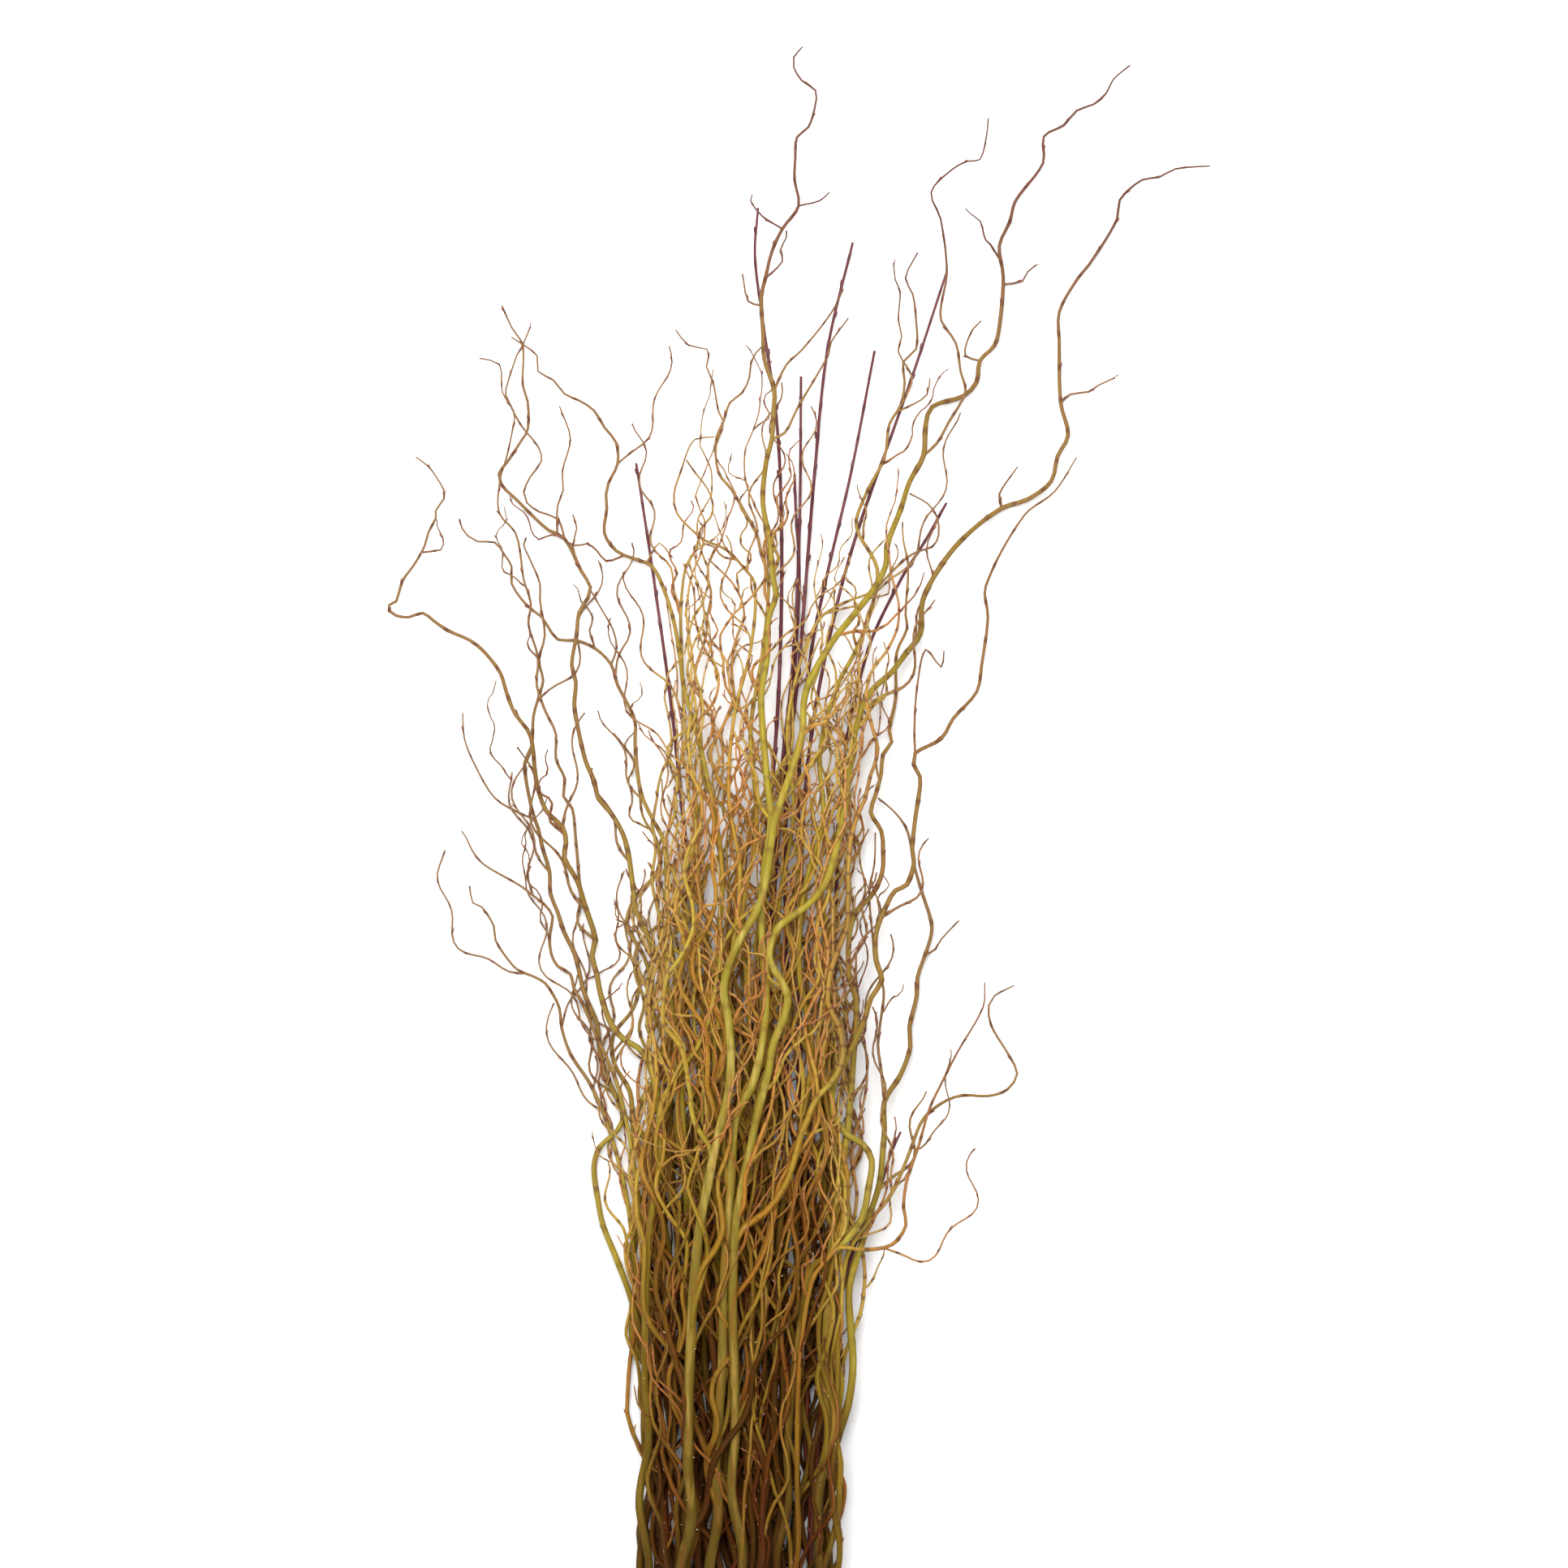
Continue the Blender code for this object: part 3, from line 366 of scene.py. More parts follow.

# Branches followed tip first, each grown from the stem at this place in the pile
BRANCHES = [
    (45, [
        (1217, 148), (1215, 169), (1207, 198), (1192, 200), (1173, 210), (1147, 238), (1159, 270),
        (1167, 335), (1160, 375), (1160, 394), (1178, 422), (1184, 457), (1190, 482), (1169, 520),
        (1155, 545), (1138, 563)]),
    (45, [(1278, 324), (1267, 333), (1261, 344), (1237, 352)]),
    (45, [(1209, 395), (1200, 404), (1192, 420), (1190, 437), (1208, 443)]),
    (44, [(1375, 464), (1355, 473), (1343, 481), (1320, 484), (1308, 492)]),
    (44, [(1254, 575), (1236, 600), (1232, 608), (1233, 625)]),
    (43, [(1022, 238), (1010, 248), (984, 255)]),
    (43, [(927, 242), (925, 249), (939, 267), (963, 282)]),
    (43, [(969, 284), (969, 292), (962, 307), (964, 322), (945, 343)]),
    (43, [(1039, 359), (1024, 388), (988, 433), (969, 451), (954, 482)]),
    (43, [(1045, 396), (1024, 425), (1020, 441), (982, 506), (967, 535), (951, 543)]),
    (43, [(915, 338), (922, 372), (936, 380)]),
    (38, [
        (592, 443), (616, 450), (619, 483), (633, 506), (634, 516), (624, 562), (616, 587), (614, 631),
        (634, 655), (640, 679), (644, 712), (653, 743), (650, 768), (662, 810), (660, 843), (671, 876),
        (684, 904), (684, 935), (695, 960), (693, 981), (704, 996), (708, 1029), (713, 1086), (715, 1107),
        (711, 1138), (733, 1159)]),
    (27, [
        (653, 401), (643, 424), (636, 436), (622, 478), (622, 485), (640, 521), (662, 549), (666, 566),
        (652, 586), (644, 605), (648, 618), (663, 629), (686, 638), (695, 656)]),
    (27, [(689, 500), (702, 539), (692, 580), (693, 603), (686, 622), (692, 655)]),
    (27, [(705, 633), (710, 650), (705, 672), (712, 700)]),
    (29, [(827, 686), (812, 668), (800, 690)]),
    (22, [(728, 728), (741, 751), (754, 774), (759, 797), (754, 820)]),
    (18, [(569, 878), (571, 910), (585, 945), (608, 983), (635, 1000), (656, 1010)]),
    (31, [
        (1078, 1026), (1077, 1065), (1071, 1095), (1075, 1152), (1079, 1182), (1089, 1221), (1085, 1260),
        (1082, 1288), (1086, 1320), (1090, 1362)]),
    (31, [(1182, 1134), (1160, 1158), (1153, 1170), (1142, 1174)]),
    (37, [(1163, 802), (1160, 822), (1141, 800), (1130, 850), (1127, 900), (1128, 928)]),
    (24, [
        (832, 405), (848, 424), (871, 429), (873, 438), (870, 450), (878, 468), (885, 505), (891, 518),
        (886, 545)]),
    (28, [
        (1101, 324), (1103, 345), (1109, 359), (1107, 394), (1111, 414), (1107, 433), (1124, 463),
        (1120, 480), (1104, 508)]),
    (28, [(1146, 465), (1142, 486), (1120, 500), (1106, 505)]),
]

# The pile is laid by the frame's own rules, so the finer wood follows the same lines


def smoothed(points, step):
    """A curve through the points, with a point about every step."""
    points = np.array(points, float)
    lengths = np.linalg.norm(np.diff(points, axis=0), axis=1)
    slopes = np.empty_like(points)
    slopes[0] = (points[1] - points[0]) / lengths[0]
    slopes[-1] = (points[-1] - points[-2]) / lengths[-1]
    slopes[1:-1] = (points[2:] - points[:-2]) / (lengths[1:] + lengths[:-1])[:, None]
    stretches = []
    for k, length in enumerate(lengths):
        count = max(1, round(length / step))
        t = (np.arange(count) / count)[:, None]
        near, far = slopes[k] * length, slopes[k + 1] * length
        stretches.append(
            (2 * t**3 - 3 * t**2 + 1) * points[k]
            + (t**3 - 2 * t**2 + t) * near
            + (3 * t**2 - 2 * t**3) * points[k + 1]
            + (t**3 - t**2) * far
        )
    stretches.append(points[-1:])
    return np.concatenate(stretches)


def distances(route):
    """How far each point is along the route."""
    return np.concatenate([[0.0], np.cumsum(np.linalg.norm(np.diff(route, axis=0), axis=1))])


def thinned(route, strays, kept):
    """The numbers of the points that keep a polyline within a distance of the route."""
    marks = sorted({0, len(route) - 1, *kept})
    chosen = set(marks)
    spans = list(zip(marks, marks[1:]))
    while spans:
        first, last = spans.pop()
        if last - first < 2:
            continue
        chord = route[last] - route[first]
        inside = route[first + 1 : last] - route[first]
        off = np.abs(inside[:, 0] * chord[1] - inside[:, 1] * chord[0])
        off /= max(np.hypot(chord[0], chord[1]), 1e-9)
        if off.max() > strays:
            middle = first + 1 + int(off.argmax())
            chosen.add(middle)
            spans += [(first, middle), (middle, last)]
    return sorted(chosen)


def down_to_cut(traced, butt_x, draw, wave):
    """A traced route carried on to its cut end, cut end first."""
    x, y = traced[-1]
    cut_y = CUT_Y + draw.uniform(-CUT_SPREAD, CUT_SPREAD)
    count = max(1, round((cut_y - y) / SWAY_STEP))
    turn = draw.uniform(0, FULL_TURN)
    lower = []
    for k in range(1, count + 1):
        share = k / count
        eased = share * share * (3 - 2 * share)
        sway = wave * math.sin(turn + SWAY_TURN * k) * math.sin(math.pi * share)
        lower.append((x + (butt_x - x) * eased + sway, y + (cut_y - y) * share))
    return smoothed([*traced, *lower][::-1], STEP)


def filler_route(number, draw):
    """A curly stem in the thick of the bunch, tip first."""
    left, right = FOOT_EDGES
    butt_x = left + (right - left) * (number + 0.5) / FILLERS + draw.uniform(-8, 8)
    tip_x = butt_x + FAN_OUT * (butt_x - FOOT_MIDDLE) + draw.uniform(-45, 45)
    tip_y = draw.uniform(*TIP_ROWS)
    long_wave, short_wave = draw.uniform(230, 330), draw.uniform(95, 150)
    long_turn, short_turn = draw.uniform(0, FULL_TURN), draw.uniform(0, FULL_TURN)
    route = []
    count = round((FOOT_ROW - tip_y) / WAVE_STEP)
    for k in range(count + 1):
        share = k / count
        y = tip_y + (FOOT_ROW - tip_y) * share
        x = tip_x + (butt_x - tip_x) * share**0.7
        x += (9 + 10 * (1 - share)) * math.sin(long_turn + FULL_TURN * y / long_wave)
        x += (3 + 9 * (1 - share)) * math.sin(short_turn + FULL_TURN * y / short_wave)
        route.append((x, y))
    return butt_x, draw.uniform(*FILLER_WIDTHS), route


def branch_route(route, root, side, length, draw):
    """A curly branch that leaves the stem at a point, root first."""
    ahead = route[min(root + 3, len(route) - 1)] - route[max(root - 3, 0)]
    heading = math.atan2(ahead[1], ahead[0])
    spread = math.radians(draw.uniform(24, 42)) * side
    swing = math.radians(draw.uniform(22, 36))
    wave = draw.uniform(75, 125)
    turn = draw.uniform(-0.6, 0.6)
    upward = -math.pi / 2 + math.radians(draw.uniform(2, 14)) * side
    points = [route[root].copy()]
    for k in range(round(length / STEP)):
        gone = k * STEP
        share = gone / length
        lean = heading + spread
        lean += (upward - lean) * min(1.0, 1.5 * share)
        lean += swing * min(1.0, gone / 40) * math.sin(turn + FULL_TURN * gone / wave)
        points.append(points[-1] + STEP * np.array([math.cos(lean), math.sin(lean)]))
    return np.array(points)


def stem_shapes():
    """Every stem from the bottom of the pile up: its name, routes and widths in pixels."""
    stems = []
    for place, butt_x, width, traced in CURLY:
        stems.append((place, "curly_stem", butt_x, width, traced))
    for place, butt_x, width, traced in CANES:
        stems.append((place, "straight_cane", butt_x, width, traced))
    for number in range(FILLERS):
        draw = random.Random(SEED + 100 + number)
        place = 0.5 + 42 / FILLERS * ((number * 5) % FILLERS)
        stems.append((place, "curly_stem", *filler_route(number, draw)))
    stems.sort()
    shapes = []
    counts = {}
    for place, kind, butt_x, width, traced in stems:
        draw = random.Random(SEED + round(10 * place))
        counts[kind] = counts.get(kind, 0) + 1
        straight = kind == "straight_cane"
        route = down_to_cut(traced, butt_x, draw, CANE_SWAY if straight else CURLY_SWAY)
        branches = []
        for path in [path for home, path in BRANCHES if home == place]:
            root = int(np.hypot(*(route - np.array(path[-1])).T).argmin())
            followed = smoothed([*path[:-1], tuple(route[root])][::-1], STEP)
            branches.append((root, followed))
        wanted = 0 if straight else max(1, BRANCHES_WANTED - len(branches))
        for k in range(wanted):
            low, high = BRANCH_ZONE
            share = low + (high - low) * (k + draw.uniform(0.1, 0.9)) / wanted
            root = round(share * (len(route) - 1))
            side = 1 if (k + len(shapes)) % 2 else -1
            length = draw.uniform(*BRANCH_LENGTHS)
            grown = branch_route(route, root, side, length, draw)
            if BARE_PAST[0] < route[root][0] < BARE_PAST[1]:
                branches.append((root, grown))
        shapes.append({
            "name": f"{kind}_{counts[kind]:02d}",
            "place": place,
            "straight": straight,
            "width": width,
            "route": route,
            "branches": branches,
        })
    return shapes


def stem_radii(route, width, tip):
    """Half the thickness at each point of a route that starts at its thick end."""
    along = distances(route)
    left = 1 - along / along[-1]
    return tip / 2 + (width - tip) / 2 * left**TAPER


def tree_of(shape, layers):
    """The stem and its branches as points, joined in pairs, for laying and for the solid."""
    tip = CANE_END if shape["straight"] else TWIG_END
    route = shape["route"]
    radii = stem_radii(route, shape["width"], tip)
    roots = [root for root, _ in shape["branches"]]
    picked = thinned(route, STEM_STRAYS, roots)
    runs = [[picked.index(k) for k in picked]]
    points = [route[k] for k in picked]
    sizes = [radii[k] for k in picked]
    for root, path in shape["branches"]:
        width = 2 * BRANCH_SHARE * radii[root]
        thin = stem_radii(path, max(width, TWIG_END + 0.6), TWIG_END)
        chosen = thinned(path, BRANCH_STRAYS, [])
        run = [picked.index(root)]
        for k in chosen[1:]:
            run.append(len(points))
            points.append(path[k])
            sizes.append(thin[k])
        runs.append(run)
    shape["runs"] = runs
    shape["points"] = np.array(points)
    shape["halves"] = FLAT_SHARE * np.array(sizes) * PIXEL
    lift = max(0.0, (shape["order"] - FLAT_LAYERS) / (layers - FLAT_LAYERS))
    draw = random.Random(SEED + 500 + shape["order"])
    shape["curl"] = curls(shape, lift, draw)


def curls(shape, lift, draw):
    """How far each point of a loose stem stands off a straight lie."""
    curl = np.zeros(len(shape["points"]))
    for number, run in enumerate(shape["runs"]):
        path = shape["points"][run]
        along = distances(path)
        wave, turn = draw.uniform(130, 240), draw.uniform(0, FULL_TURN)
        rise = draw.uniform(0.2, 1.0) * min(TOP_RISE, RISE_SHARE * PIXEL * along[-1])
        rise *= 0.35 if shape["straight"] else 1.0
        high = lift * TOP_CURL * (0.1 if shape["straight"] else 1.0)
        share = along / along[-1]
        swing = high * (1 + np.sin(turn + FULL_TURN * along / wave)) * (0.25 + 0.75 * share)
        swing += lift * rise * share**2
        start = curl[run[0]] if number else 0.0
        curl[run] = start + swing - swing[0]
    return curl - min(curl.min(), 0.0)


def disc(radius):
    """Whole-pixel steps to every cell within a radius."""
    reach = math.ceil(radius)
    across, down = np.mgrid[-reach : reach + 1, -reach : reach + 1]
    inside = across**2 + down**2 <= radius * radius
    return across[inside], down[inside]


def sampled(shape):
    """Places along every run: the two points they lie between, the share, and the plan."""
    starts, ends, shares = [], [], []
    for run in shape["runs"]:
        for near, far in zip(run, run[1:]):
            span = np.hypot(*(shape["points"][far] - shape["points"][near]))
            count = max(2, math.ceil(span / SAMPLE_STEP))
            starts += [near] * (count + 1)
            ends += [far] * (count + 1)
            shares += list(np.arange(count + 1) / count)
    starts, ends, shares = np.array(starts), np.array(ends), np.array(shares)
    plan = (1 - shares)[:, None] * shape["points"][starts] + shares[:, None] * shape["points"][ends]
    halves = (1 - shares) * shape["halves"][starts] + shares * shape["halves"][ends]
    return starts, ends, shares, plan, halves


def over_cells(plan, halves, act):
    """Calls act with the map cells round each place, in groups of like thickness."""
    columns = np.round(plan[:, 0]).astype(int) - MAP_LEFT
    rows = np.round(plan[:, 1]).astype(int) - MAP_TOP
    sizes = np.ceil(2 * halves / PIXEL).astype(int)
    for size in sorted(set(sizes.tolist())):
        here = np.nonzero(sizes == size)[0]
        across, down = disc(size / 2 + PLAN_ROOM)
        act(here, columns[here][:, None] + across, rows[here][:, None] + down)


def lay(shape, ground):
    """Lays a stem on what is already there, and raises the map to its top."""
    starts, ends, shares, plan, halves = sampled(shape)
    under = np.zeros(len(plan))

    def read(here, columns, rows):
        under[here] = ground[rows, columns].max(axis=1)

    over_cells(plan, halves, read)
    gap = np.where(under > 0, STEM_GAP + (SLOPE_ROOM - 1) * halves, 0.0)
    least = under + halves + gap
    heights = shape["halves"] + shape["curl"]
    near_share = (1 - shares) / ((1 - shares) ** 2 + shares**2)
    far_share = shares / ((1 - shares) ** 2 + shares**2)
    for turn in range(SETTLE_ROUNDS):
        if turn < SAG_ROUNDS:
            heights = stiffened(shape, heights - SAG)
        short = least - (1 - shares) * heights[starts] - shares * heights[ends]
        if turn >= SAG_ROUNDS and short.max() < 1e-7:
            break
        lift = np.zeros(len(heights))
        np.maximum.at(lift, starts, short * near_share)
        np.maximum.at(lift, ends, short * far_share)
        heights = heights + lift
    short = least - (1 - shares) * heights[starts] - shares * heights[ends]
    heights += short.max()
    shape["heights"] = heights
    tops = (1 - shares) * heights[starts] + shares * heights[ends] + SLOPE_ROOM * halves

    def write(here, columns, rows):
        high = np.broadcast_to(tops[here][:, None], columns.shape)
        np.maximum.at(ground, (rows, columns), high)

    over_cells(plan, halves, write)


def stiffened(shape, heights):
    """Carries a lifted point's neighbours with it, as stiff wood does."""
    lift = heights - shape["halves"] - shape["curl"]
    for run in shape["runs"]:
        part = lift[run]
        places = distances(shape["points"][run])
        if len(run) > 2:
            near = (places[1:-1] - places[:-2]) / (places[2:] - places[:-2])
            part[1:-1] = np.maximum(part[1:-1], (1 - near) * part[:-2] + near * part[2:])
        part[-1] = max(part[-1], TIP_FALL * part[-2])
        if run is shape["runs"][0]:
            part[0] = max(part[0], TIP_FALL * part[1])
        lift[run] = part
    return shape["halves"] + shape["curl"] + lift


def middle_of(shapes):
    """The middle of the whole bunch in plan, in metres."""
    low, high = np.full(2, 9.0), np.full(2, -9.0)
    for shape in shapes:
        plan = (shape["points"] - (MIDDLE_X, PHOTO_BOTTOM)) * (PIXEL, -PIXEL)
        beside = shape["halves"][:, None] * (1, 0)
        low = np.minimum(low, (plan - beside).min(axis=0))
        high = np.maximum(high, (plan + beside).max(axis=0))
    return (low + high) / 2

def eased(values, reach):
    """Values along a strand with their corners rounded off."""
    window = np.hanning(2 * reach + 3)[1:-1]
    padded = np.concatenate([np.full(reach, values[0]), values, np.full(reach, values[-1])])
    return np.convolve(padded, window / window.sum(), mode="valid")


def to_metres(plan, heights, shift):
    """Photo pixels and heights as places in the frame."""
    return np.column_stack([
        (plan[:, 0] - MIDDLE_X) * PIXEL - shift[0],
        (PHOTO_BOTTOM - plan[:, 1]) * PIXEL - shift[1],
        heights,
    ])


def past_edge(place):
    """Pixels by which a place lies outside the bunch, more than 0 on its right side."""
    rows, lefts, rights = zip(*BUNCH_EDGES)
    right = place[0] - np.interp(place[1], rows, rights)
    left = np.interp(place[1], rows, lefts) - place[0]
    return max(right, 0.0) - max(left, 0.0)


def wood_youth_and_shade(rows, past):
    """1 for young or sunlit wood at the top and sides, down to -1 for old wood and painted shade at the
    foot.
    """
    young = np.clip((YOUNG_BELOW - rows) / YOUNG_SPAN, 0, 1)
    clear = np.where(past > 0, RIGHT_SUN, -1.0) * past / SUN_SPAN
    return np.maximum(young, np.clip(clear, 0, SUNNED)) - np.clip((rows - OLD_AND_SHADED_ABOVE) / OLD_AND_SHADED_SPAN, 0, 1)


def strand(plan, heights, radii, joint_gap, draw, sides, tone):
    """One length of wood: its line, its thickness, where its leaf joints are, and its bark."""
    along = distances(plan)
    joints = along / joint_gap + draw.uniform(0.2, 0.8)
    near_joint = np.abs(joints - np.round(joints)) * joint_gap
    slim = np.clip(1 - radii / SLIM_WOOD, 0, 1)
    swell = 1 + (THICK_SWELL + JOINT_SWELL * slim) * np.exp(-((near_joint / JOINT_REACH) ** 2))
    uneven = 1 + 0.03 * np.sin(along / 17 + draw.uniform(0, 6))
    full = radii * swell * uneven * PIXEL
    past = np.array([past_edge(place) for place in plan])
    return {
        "plan": plan,
        "heights": np.maximum(heights, full),
        "smooth": radii,
        "radii": full,
        "thickness": 2000 * radii * PIXEL,
        "joints": joints,
        "tone": np.full(len(plan), tone + draw.uniform(-0.15, 0.15)),
        "past": past,
        "youth": wood_youth_and_shade(plan[:, 1], past),
        "sides": sides,
    }


def between_points(shape, run, path):
    """Heights of a smooth path, read from the laid points of its run."""
    laid = shape["points"][run]
    share = distances(path) / distances(path)[-1]
    marks = distances(laid) / distances(laid)[-1]
    return eased(np.interp(share, marks, shape["heights"][run]), 2)


def twig_plan(start, heading, lean, length, wave, swing, curl, draw):
    """A curly twig that sets off at a lean, then turns back to its stem and to the bunch."""
    turn = draw.uniform(0, FULL_TURN)
    kink = 0.0
    outside = past_edge(start)
    freedom = draw.uniform(-14, 14)
    plan = [np.array(start, float)]
    count = max(4, round(length / TWIG_STEP))
    for k in range(count):
        gone = k * TWIG_STEP
        share = k / count
        if k % 4 == 3:
            kink = 0.5 * kink + curl * math.radians(draw.uniform(-KINK, KINK))
        bend = swing * min(1.0, gone / 24) * math.sin(turn + FULL_TURN * gone / wave)
        astray = past_edge(plan[-1] + (freedom, 0)) - outside
        way = heading + lean * (1 - 0.65 * share) + bend + kink
        way -= max(-0.6, min(0.6, 0.02 * astray))
        plan.append(plan[-1] + TWIG_STEP * np.array([math.cos(way), math.sin(way)]))
    return np.array(plan)


def twig_heights(plan, radii, start, rise, under):
    """Heights of a twig that leaves its parent and lies over what is already there."""
    share = np.linspace(0, 1, len(plan))
    free = start + rise * share**1.5
    columns = np.clip(np.round(plan[:, 0]).astype(int) - MAP_LEFT, 0, MAP_WIDE - 1)
    rows = np.clip(np.round(plan[:, 1]).astype(int) - MAP_TOP, 0, MAP_HIGH - 1)
    least = under[rows, columns] + radii * PIXEL + TWIG_GAP
    heights = np.maximum(free, np.minimum(least, HIGHEST))
    for _ in range(4):
        heights[1:-1] = np.maximum(heights[1:-1], (heights[:-2] + heights[2:]) / 2)
    heights = eased(heights, 2)
    heights += (start - heights[0]) * np.clip(1 - 4 * share, 0, 1)
    return np.clip(heights, radii * PIXEL, HIGHEST)


def leaning(draw, leans):
    """A lean to either side, in radians."""
    return draw.choice((-1, 1)) * math.radians(draw.uniform(*leans))


def grow_twig(parent, place, length, width, lean, rises, tones, under, draw, sides=TWIG_SIDES):
    """A twig from one point of its parent strand."""
    rise, tone = draw.uniform(*rises), draw.uniform(*tones)
    plan, heights = parent["plan"], parent["heights"]
    ahead = plan[min(place + 2, len(plan) - 1)] - plan[max(place - 2, 0)]
    heading = math.atan2(ahead[1], ahead[0])
    calm = min(max((plan[place][1] - CURLY_ABOVE) / CALM_SPAN, 0.0), 1.0)
    wave = draw.uniform(0.7, 1.3) * (44 + 0.11 * length) * (1 + 0.6 * calm)
    swing = math.radians(draw.uniform(15, 40)) * (1 - 0.45 * calm)
    route = twig_plan(plan[place], heading, lean, length, wave, swing, 1 - 0.6 * calm, draw)
    radii = stem_radii(route, width, TWIG_POINT)
    lies = twig_heights(route, radii, heights[place], rise, under)
    return strand(route, lies, radii, draw.uniform(*TWIG_JOINTS), draw, sides, tone)


def worth_a_twig(place, draw, wish=1.0):
    """Side twigs are many inside the bunch and few on the wood that stands clear of it."""
    if abs(past_edge(place)) > TWIG_ROOM or place[1] < CROWN_TOP:
        return draw.random() < CLEAR_CHANCE
    return draw.random() < wish * float(np.interp(place[1], *zip(*TWIG_CHANCES)))


def trunk_and_branches(shape, draw):
    """The wood that the frame has too."""
    straight = shape["straight"]
    tone = draw.uniform(0.3, 1.0)
    route = shape["route"]
    radii = stem_radii(route, shape["width"], CANE_END if straight else TWIG_END)
    stem_run, *branch_runs = shape["runs"]
    heights = between_points(shape, stem_run, route)
    gap = CANE_JOINTS if straight else draw.uniform(*TRUNK_JOINTS)
    trunk = strand(route, heights, radii, gap, draw, TRUNK_SIDES, tone)
    branches = []
    for (root, path), run in zip(shape["branches"], branch_runs):
        thin = stem_radii(path, max(2 * BRANCH_SHARE * radii[root], TWIG_END + 0.6), TWIG_END)
        lies = between_points(shape, run, path)
        lies[0] = heights[root]
        gap = draw.uniform(*BRANCH_JOINTS)
        branches.append(strand(path, lies, thin, gap, draw, BRANCH_SIDES, tone - 0.1))
    return trunk, branches


def runners(trunk, deep, top, under, draw):
    """Long slim stems that run up beside the trunk from its lower part."""
    many = TOP_RUNNERS if top else RUNNERS
    reach = 0.3 if deep or top else 0.5
    last = len(trunk["plan"]) - 1
    grown = []
    for k in range(many):
        place = round(last * (0.01 + reach * (k + draw.random()) / many))
        if abs(past_edge(trunk["plan"][place])) > RUNNER_ROOM:
            continue
        lean = leaning(draw, RUNNER_LEANS)
        width = min(draw.choice(RUNNER_WIDTHS), 1.5 * trunk["smooth"][place])
        length = draw.choice(RUNNER_LENGTHS) * draw.uniform(0.75, 1.2)
        grown.append(grow_twig(
            trunk, place, length, width, lean, RUNNER_RISES, RUNNER_TONES, under, draw, BRANCH_SIDES,
        ))
    return grown


def side_twigs(trunk, top, under, draw):
    """Twigs on the trunk itself: on the top stems from low down, else in the crown."""
    first, many = (0.06, TOP_TWIGS) if top else (0.4, CROWN_TWIGS)
    last = len(trunk["plan"]) - 1
    grown = []
    for k in range(many):
        place = round(last * (first + (0.96 - first) * (k + draw.random()) / many))
        if not worth_a_twig(trunk["plan"][place], draw, TOP_WISH if top else 1.0):
            continue
        lean = leaning(draw, SIDE_LEANS)
        width = max(FINE_TWIG, min(SIDE_TWIG, 1.3 * trunk["smooth"][place]))
        length = draw.uniform(*SIDE_LENGTHS)
        grown.append(grow_twig(trunk, place, length, width, lean, SIDE_RISES, TWIG_TONES, under, draw))
    return grown


def sub_twigs(parent, under, draw):
    """The finest twigs, along a branch or a runner."""
    last = len(parent["plan"]) - 1
    many = round(SUB_TWIGS * distances(parent["plan"])[-1] / SUB_TWIG_RUN)
    grown = []
    for k in range(many):
        place = round(last * (0.12 + 0.8 * (k + draw.random()) / many))
        if not worth_a_twig(parent["plan"][place], draw):
            continue
        lean = leaning(draw, SUB_LEANS)
        width = max(TWIG_POINT + 0.6, min(SUB_TWIG, 1.3 * parent["radii"][place] / PIXEL))
        length = draw.uniform(*SUB_LENGTHS)
        grown.append(grow_twig(parent, place, length, width, lean, SUB_RISES, TWIG_TONES, under, draw))
    return grown


def weather_and_shade(strands, order, draw):
    """Ages the wood inside the bunch at random, and paints shade on it that grows the deeper the stem lies
    in the pile.
    """
    for number, wood in enumerate(strands):
        chance = 0.0 if number == 0 and order >= TOP_STEMS else draw.random() ** 2
        inside = np.clip((wood["plan"][:, 1] - WORN_AND_SHADED_BELOW) / OLD_AND_SHADED_SPAN, 0, 1)
        inside *= np.clip(1 - np.abs(wood["past"]) / CLEAR_SPAN, 0, 1)
        # Random ageing, plus painted shade for stems deep in the pile
        wood["youth"] = wood["youth"] - (chance + (1 - order / TOP_STEMS)) * inside


def stem_strands(shape, under):
    """All the wood of one stem, from its trunk down to the finest twigs."""
    order = shape["order"]
    draw = random.Random(SEED + 900 + order)
    trunk, branches = trunk_and_branches(shape, draw)
    if shape["straight"]:
        return [trunk, *branches]
    top = order >= TOP_STEMS
    parents = branches + runners(trunk, order < DEEP_STEMS, top, under, draw)
    strands = [trunk, *parents, *side_twigs(trunk, top, under, draw)]
    for parent in parents:
        strands += sub_twigs(parent, under, draw)
    weather_and_shade(strands, order, draw)
    return strands


def set_facts(mesh, fact, values):
    mesh.attributes.new(fact, "FLOAT", "POINT").data.foreach_set("value", values)


def tube_mesh(name, strands, shift):
    """Round tubes along strands that all have the same number of sides, with their facts."""
    sides = strands[0]["sides"]
    curve = bpy.data.curves.new(name, "CURVE")
    curve.dimensions = "3D"
    curve.twist_mode = "MINIMUM"
    curve.bevel_depth = 1.0
    curve.bevel_resolution = sides // 2 - 2
    curve.use_fill_caps = True
    for wood in strands:
        places = to_metres(wood["plan"], wood["heights"], shift)
        spline = curve.splines.new("POLY")
        spline.points.add(len(places) - 1)
        spline.points.foreach_set("co", np.column_stack([places, np.ones(len(places))]).ravel())
        spline.points.foreach_set("radius", wood["radii"])
    rods = bpy.data.objects.new(name, curve)
    bpy.context.scene.collection.objects.link(rods)
    graph = bpy.context.evaluated_depsgraph_get()
    mesh = bpy.data.meshes.new_from_object(rods.evaluated_get(graph))
    bpy.data.objects.remove(rods)
    bpy.data.curves.remove(curve)
    for fact in FACTS:
        ends = [np.repeat((wood[fact][-1], wood[fact][0]), sides) for wood in strands[::-1]]
        rings = [np.repeat(wood[fact], sides) for wood in strands]
        set_facts(mesh, fact, np.concatenate(ends + rings))
    return mesh


